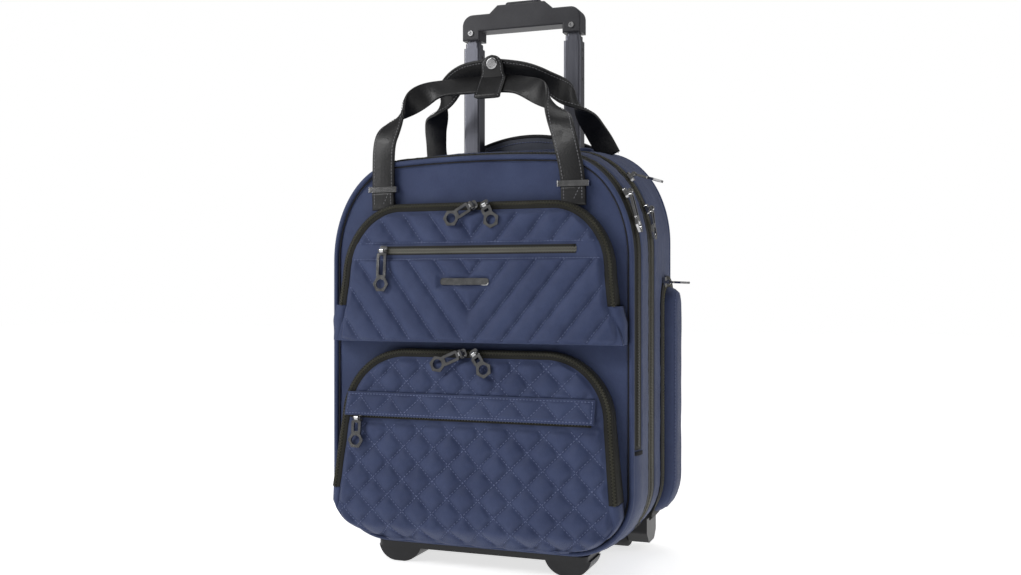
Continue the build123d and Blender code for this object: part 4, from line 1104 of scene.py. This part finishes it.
def handle(name, guide, foot, apex, facing, ground, turns):
    """A carrying handle of one leather strap: legs, a half twist at each shoulder, and the arch.

    The guide is the strap's middle line as (x, z); above its foot it leans towards the apex.
    """
    back, rise = apex[0] - foot[0], apex[1] - foot[1]
    reach = math.hypot(back, rise)
    square = np.array((0.0, -rise / reach, back / reach))
    guide = np.array(guide, float)
    share = np.clip((guide[:, 1] - foot[1]) / rise, 0, None)
    line = columns(guide[:, 0], foot[0] + back * share, guide[:, 1])
    line = resample(line, 2.5)
    for _ in range(24):
        line[1:-1] = (line[:-2] + 2 * line[1:-1] + line[2:]) / 4
    along = headings(line)
    run_length = np.arange(len(line)) * 2.5 - (foot[1] - guide[0, 1])
    from_foot = np.minimum(run_length, run_length[::-1])
    share = np.clip((line[:, 2] - foot[1]) / rise, 0, 1)
    upright = smooth(share * 3)[:, None]
    front_of = unit(FORWARDS * (1 - upright) + square * upright)
    outer = unit(np.cross(front_of, along))
    if outer[0, 0] > 0:
        outer = -outer
    twist = math.pi * smooth((from_foot - turns[0]) / (turns[1] - turns[0]))[:, None]
    inner_edge = -outer * np.cos(twist) + facing * front_of * np.sin(twist)
    grain = facing * front_of * np.cos(twist) + outer * np.sin(twist)
    curl = 4 * np.sin(twist[:, 0]) ** 2
    profile = rounded(STRAP_WIDTH, STRAP_THICK, STRAP_THICK * 0.36, 3)
    varied = np.repeat(profile[None], len(line), 0)
    varied[:, :, 1] += curl[:, None] * (1 - (profile[None, :, 0] / 13) ** 2)
    strap = sweep(f"{name}_strap", line, inner_edge, grain, varied, LEATHER, None)
    threads = []
    for label, across in (("inner", 10.2), ("outer", -10.2)):
        lifted = STRAP_THICK / 2 + 0.12 + curl * (1 - (across / 13) ** 2)
        run = line + inner_edge * across + grain * lifted[:, None]
        even = resample(run, 3.6)
        thread = copies(f"{name}_{label}_thread", capsule(2.5, 0.42), even, headings(even),
                        unit(nearest(run, grain, even)), PALE_THREAD, None)
        threads.append(thread)
    start = (columns(0, foot[0], ground[0]) + ORIGIN) / 1000
    end = (columns(0, foot[0], ground[1]) + ORIGIN) / 1000
    for made in [strap, *threads]:
        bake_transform(made)
    return strap


FRONT_GUIDE = (
    (-106.5, 398), (-106.5, 440), (-106, 458), (-101, 477), (-94, 493), (-84, 507), (-70, 515), (-46, 518),
    (0, 518), (26, 517), (45, 511), (62, 501), (76, 488), (88, 471), (99, 441), (105, 415), (106.5, 398),
)
BACK_GUIDE = (
    (-106.5, 446), (-106, 464), (-96, 487), (-81, 504), (-67, 517), (-50, 529), (-33, 535), (0, 537),
    (34, 532), (53, 524), (70, 512), (83, 497), (91, 480), (98, 464), (106.5, 446),
)
front_strap = handle(
    "front_handle", FRONT_GUIDE, (STRAP_DEPTH, 455.0), (43.0, 516.0), 1, (405, 413),
    (5, 105),
)
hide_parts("front_handle")
back_strap = handle(
    "back_handle", BACK_GUIDE, (139.0, 459.0), (58.0, 533.0), -1, (454, 464),
    (32, 112),
)
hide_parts("back_handle", "back_handle_anchors")

# tails under the keepers
for side in (-1, 1):
    label = "left" if side < 0 else "right"
    z = np.linspace(380, 399, 8)
    line = columns(side * STRAP_X, -4.2 - 0.8 * smooth((z - 386) / 12), z)
    tail = sweep(f"handle_tail_{label}", line, everywhere(RIGHT, line), everywhere(FORWARDS, line),
                 rounded(26, 5.6, 1.4), LEATHER, "front_section")
    if side < 0:
        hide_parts("handle_tails")
    for shift in (-9.6, 9.6, 1.5):
        z = np.linspace(387.5, 397, 6)
        reach = side * STRAP_X + (shift if shift != 1.5 else shift + (z - 387.5) * 0.55)
        line = columns(reach, -4.2 - 0.8 * smooth((z - 386) / 12) - 3.0, z)
        stitches(f"tail_{label}_{'abc'[(-9.6, 9.6, 1.5).index(shift)]}", line, FORWARDS, "front_section",
                 PALE_THREAD, 3.4, 2.3)

# wrap with its snap
apex, lean_angle = np.array((43.0, 516.0)), math.atan2(61, 48)
lean = np.array((math.cos(lean_angle), math.sin(lean_angle)))
off = np.array((-math.sin(lean_angle), math.cos(lean_angle)))
trace = [apex + lean * a + off * b for a, b in ((-19.5, 0.6), (-20.3, 2.2), (-18.5, 3.4), (-8, 3.4), (4, 3.4),
                                                (10, 3.5))] + [(43.2, 538.0), (43.0, 546), (42.8, 549.2)]
trace = resample(columns(0, np.array(trace)[:, 0], np.array(trace)[:, 1]), 0.8)
length = np.concatenate([[0], np.cumsum(np.linalg.norm(np.diff(trace, axis=0), axis=1))])
left_over = length[-1] - length
widths = 30 - 5 * smooth((length - 30) / 9)
tip = 12.5
widths = np.where(left_over < tip, 2 * np.sqrt(np.clip(tip**2 - (tip - left_over) ** 2, 0.4, None)), widths)
widths = np.where(length < 3, 30 - 3 * (1 - length / 3) ** 2, widths)
away = unit(np.cross(RIGHT, headings(trace)))
away = away if away[len(away) // 2, 1] < 0 else -away
shape = rounded(2, 2.4, 0.8, 3)
varied = np.repeat(shape[None], len(trace), 0)
varied[:, :, 0] = varied[:, :, 0] * (widths[:, None] / 2)
wrap = sweep("handle_wrap_leather", trace, everywhere(RIGHT, trace), away, varied, LEATHER, "front_handle")
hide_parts("handle_wrap")
for side in (-1, 1):
    keep = (length > 3) & (length < length[-1] - 4)
    run = trace + RIGHT * (side * (widths[:, None] / 2 - 2.4)) + away * 1.3
    label = "left" if side < 0 else "right"
    stitches(f"wrap_stitch_{label}", run[keep], away[keep], "front_handle", PALE_THREAD, 3.4, 2.3, 0.34)

# collar under the trolley tubes, a low padded plate
rows = []
for shrink, z in ((0, 447), (0, 453.5), (0.6, 455.2), (2.4, 456.2), (6, 456.6), (13, 456.8)):
    loop = rounded(172 - 2 * shrink, 34 - 2 * shrink, max(1.0, 10 - shrink), 5)
    rows.append(columns(loop[:, 0], TUBE_DEPTH + loop[:, 1], z))
collar = skin("collar_pad", np.array(rows), NAVY, None)
carve(collar, block("cut_e", tubes, 51.6, 72.4), block("cut_f", tubes, -72.4, -51.6))
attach(collar, "case")
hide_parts("collar_plate")

# ---- trolley cover, linings and the laptop sleeve -----------------------------------------------------

u, v = np.linspace(-1, 1, 61), np.linspace(0, 1, 14)
crest = 456 + 22 * (1 - u**2) - 0.6
cover_z = 441 + (crest[None] - 441) * v[:, None]
soft = 0.6 * ripple(u[None] * 85, cover_z, 30, 5.0)
front = columns(u[None] * 85 + 0 * cover_z, 171.4 - 1.8 * np.sin(math.pi * v)[:, None] + soft, cover_z)
cover = shell("trolley_cover_cloth", front, front + BACKWARDS * 4, LINING, "case")
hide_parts("handle_cover")
edge_and_groove_shade = np.concatenate([
    columns(-85, 173.4, np.linspace(443, 455, 4)), columns(u * 85, 173.4, crest)[1:-1],
    columns(85, 173.4, np.linspace(455, 443, 4)),
])
edge_and_groove_shade = resample(edge_and_groove_shade, 3)
edge_up = unit(edge_and_groove_shade - columns(0, 173.4, 380))
tube("trolley_cover_binding", edge_and_groove_shade, 2.9, np.broadcast_to(BACKWARDS, edge_and_groove_shade.shape), BINDING_AND_GROOVE_SHADE, "case")
inner = edge_and_groove_shade - edge_up * 6.5 + FORWARDS * 3.6
stitches("trolley_cover_stitch", inner, FORWARDS, "case", THREAD, 3.6)

for node, body, near, far in (
    ("lining_panel", "case", 131.0, 133.4),
    ("divider_panel", "front_section", 61.8, 64.8),
):
    face, behind = panel_grid(3.2, 60, 70, near, slack), panel_grid(3.2, 60, 70, far)
    sheet = shell(f"{node}_cloth", face, behind, LINING, body)
    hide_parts(node)


SLEEVE_MIDDLE = np.array((0, 212.0))


def sleeve_loop(grow, share=1.0):
    """The sleeve's outline as (x, z), grown outwards, or drawn in to a share of itself."""
    return SLEEVE_MIDDLE + rounded(284 + 2 * grow, 356 + 2 * grow, 20 + grow, 8) * share


rows = []
for grow, depth in ((-3, 20.4), (-1, 21.2), (0, 23), (0.4, 33), (0, 43.5), (-1.4, 45.6), (-4, 46.8)):
    loop = sleeve_loop(grow)
    rows.append(columns(loop[:, 0], depth, loop[:, 1]))
for share, depth in ((0.9, 47), (0.6, 47.2), (0.3, 47.2), (0.001, 47.2), (0.001, 43), (0.6, 43), (0.94, 43)):
    loop = sleeve_loop(-4, share)
    soft = 0.5 * ripple(loop[:, 0], loop[:, 1], 60, 2.0) * (share > 0.1)
    rows.append(columns(loop[:, 0], depth + soft, loop[:, 1]))
for share, depth in ((0.94, 23.4), (0.6, 23.4), (0.001, 23.4), (0.001, 20.2), (0.6, 20.2), (0.9, 20.2)):
    loop = sleeve_loop(-4, share)
    rows.append(columns(loop[:, 0], depth, loop[:, 1]))
sleeve = skin("laptop_sleeve_padding", np.array(rows), LINING, "front_section", True)
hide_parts("laptop_sleeve")

# ---- trolley lock holes ------------------------------------------------------------------------------

holes = np.array([columns(TUBE_X * side + 10.0, TUBE_DEPTH, z) for side in (-1, 1) for z in (571, 561, 537)])
copies("trolley_lock_buttons", tooth(5.0, 5.0, 0.2), holes, everywhere(UP, holes), everywhere(RIGHT, holes),
       BLACK, "trolley_stage_a", True)

# ---- CAD nodes shown as they are -----------------------------------------------------------------------

dress(BLACK, "base_tray", "feet", "wheel_housings")
dress(STEEL, "axles", "grip_screws", "release_rods", "button_springs")
dress(GUNMETAL, "outer_tubes", "trolley_stage_a", "trolley_stage_b", "trolley_stage_c")
dress(GRIP, "trolley_grip", "release_button")
dress(RUBBER, "tyre_left", "tyre_right")
dress(HUB, "hub_left", "hub_right")
pulls = [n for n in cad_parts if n.endswith("_pull")]
dress(CHROME, "case_zip_sliders", "front_zip_slider", "upper_pocket_sliders", "lower_pocket_sliders",
      "slip_slider", "flap_slider", "handle_keepers", "name_plate", "snap_cap", *pulls)
for node in ("handle_keepers", "feet", "wheel_housings", "base_tray", *pulls):
    softened(node)

# ---- floor, light and camera ----------------------------------------------------------------------------

floor_mesh = bpy.data.meshes.new("floor")
FLOOR_HALF, FLOOR_Z = 6, -0.0004
corners = [(x * FLOOR_HALF, y * FLOOR_HALF, FLOOR_Z) for x, y in ((-1, -1), (1, -1), (1, 1), (-1, 1))]
floor_mesh.from_pydata(corners, [], [(0, 1, 2, 3)])
floor = bpy.data.objects.new("floor", floor_mesh)
bpy.context.scene.collection.objects.link(floor)
pale = Finish("pale_floor", Roughness=0.7, Emission_Color=(1, 1, 1, 1), Emission_Strength=0.7)
pale.colour(pale.noise(3), (0.3, (0.86, 0.86, 0.86)), (0.7, (0.9, 0.9, 0.9)))
floor_mesh.materials.append(pale.material)

world = bpy.data.worlds.new("studio")
world.use_nodes = True
links, nodes = world.node_tree.links, world.node_tree.nodes
backdrop, ray, glow = nodes["Background"], nodes.new("ShaderNodeLightPath"), nodes.new("ShaderNodeMapRange")
backdrop.inputs[0].default_value = (1.0, 1.0, 1.0, 1)
glow.inputs[3].default_value, glow.inputs[4].default_value = 0.22, 1.0
links.new(ray.outputs["Is Camera Ray"], glow.inputs[0])
links.new(glow.outputs[0], backdrop.inputs[1])
bpy.context.scene.world = world
bpy.context.scene.view_settings.view_transform = "Standard"


def lamp(name, place, target, size, power):
    """A soft rectangular studio light."""
    data = bpy.data.lights.new(name, "AREA")
    data.shape, data.size, data.size_y, data.energy = "RECTANGLE", size[0], size[1], power
    made = bpy.data.objects.new(name, data)
    bpy.context.scene.collection.objects.link(made)
    made.location = place
    made.rotation_euler = (Vector(target) - Vector(place)).to_track_quat("-Z", "Y").to_euler()


sun_data = bpy.data.lights.new("key_sun", "SUN")
sun_data.energy, sun_data.angle = 0.7, math.radians(15)
sun = bpy.data.objects.new("key_sun", sun_data)
bpy.context.scene.collection.objects.link(sun)
sun.rotation_euler = Vector((-0.45, -0.75, 0.75)).to_track_quat("Z", "Y").to_euler()
lamp("key", (-0.72, -0.72, 0.8), (-0.05, -0.1, 0.3), (0.5, 0.7), 5)
lamp("top", (0.2, 0.2, 1.9), (0, 0, 0.3), (1.4, 1.0), 8)
lamp("rim", (1.5, 0.3, 0.9), (0.1, 0, 0.3), (0.5, 1.2), 4)

camera_data = bpy.data.cameras.new("camera")
camera_data.sensor_width, camera_data.lens = 36.0, 37.73
camera = bpy.data.objects.new("camera", camera_data)
bpy.context.scene.collection.objects.link(camera)
camera.location = (ORIGIN + (416.0, -1041.0, 297.0)) / 1000
camera.rotation_euler = (math.radians(90), 0, math.radians(20))
bpy.context.scene.camera = camera
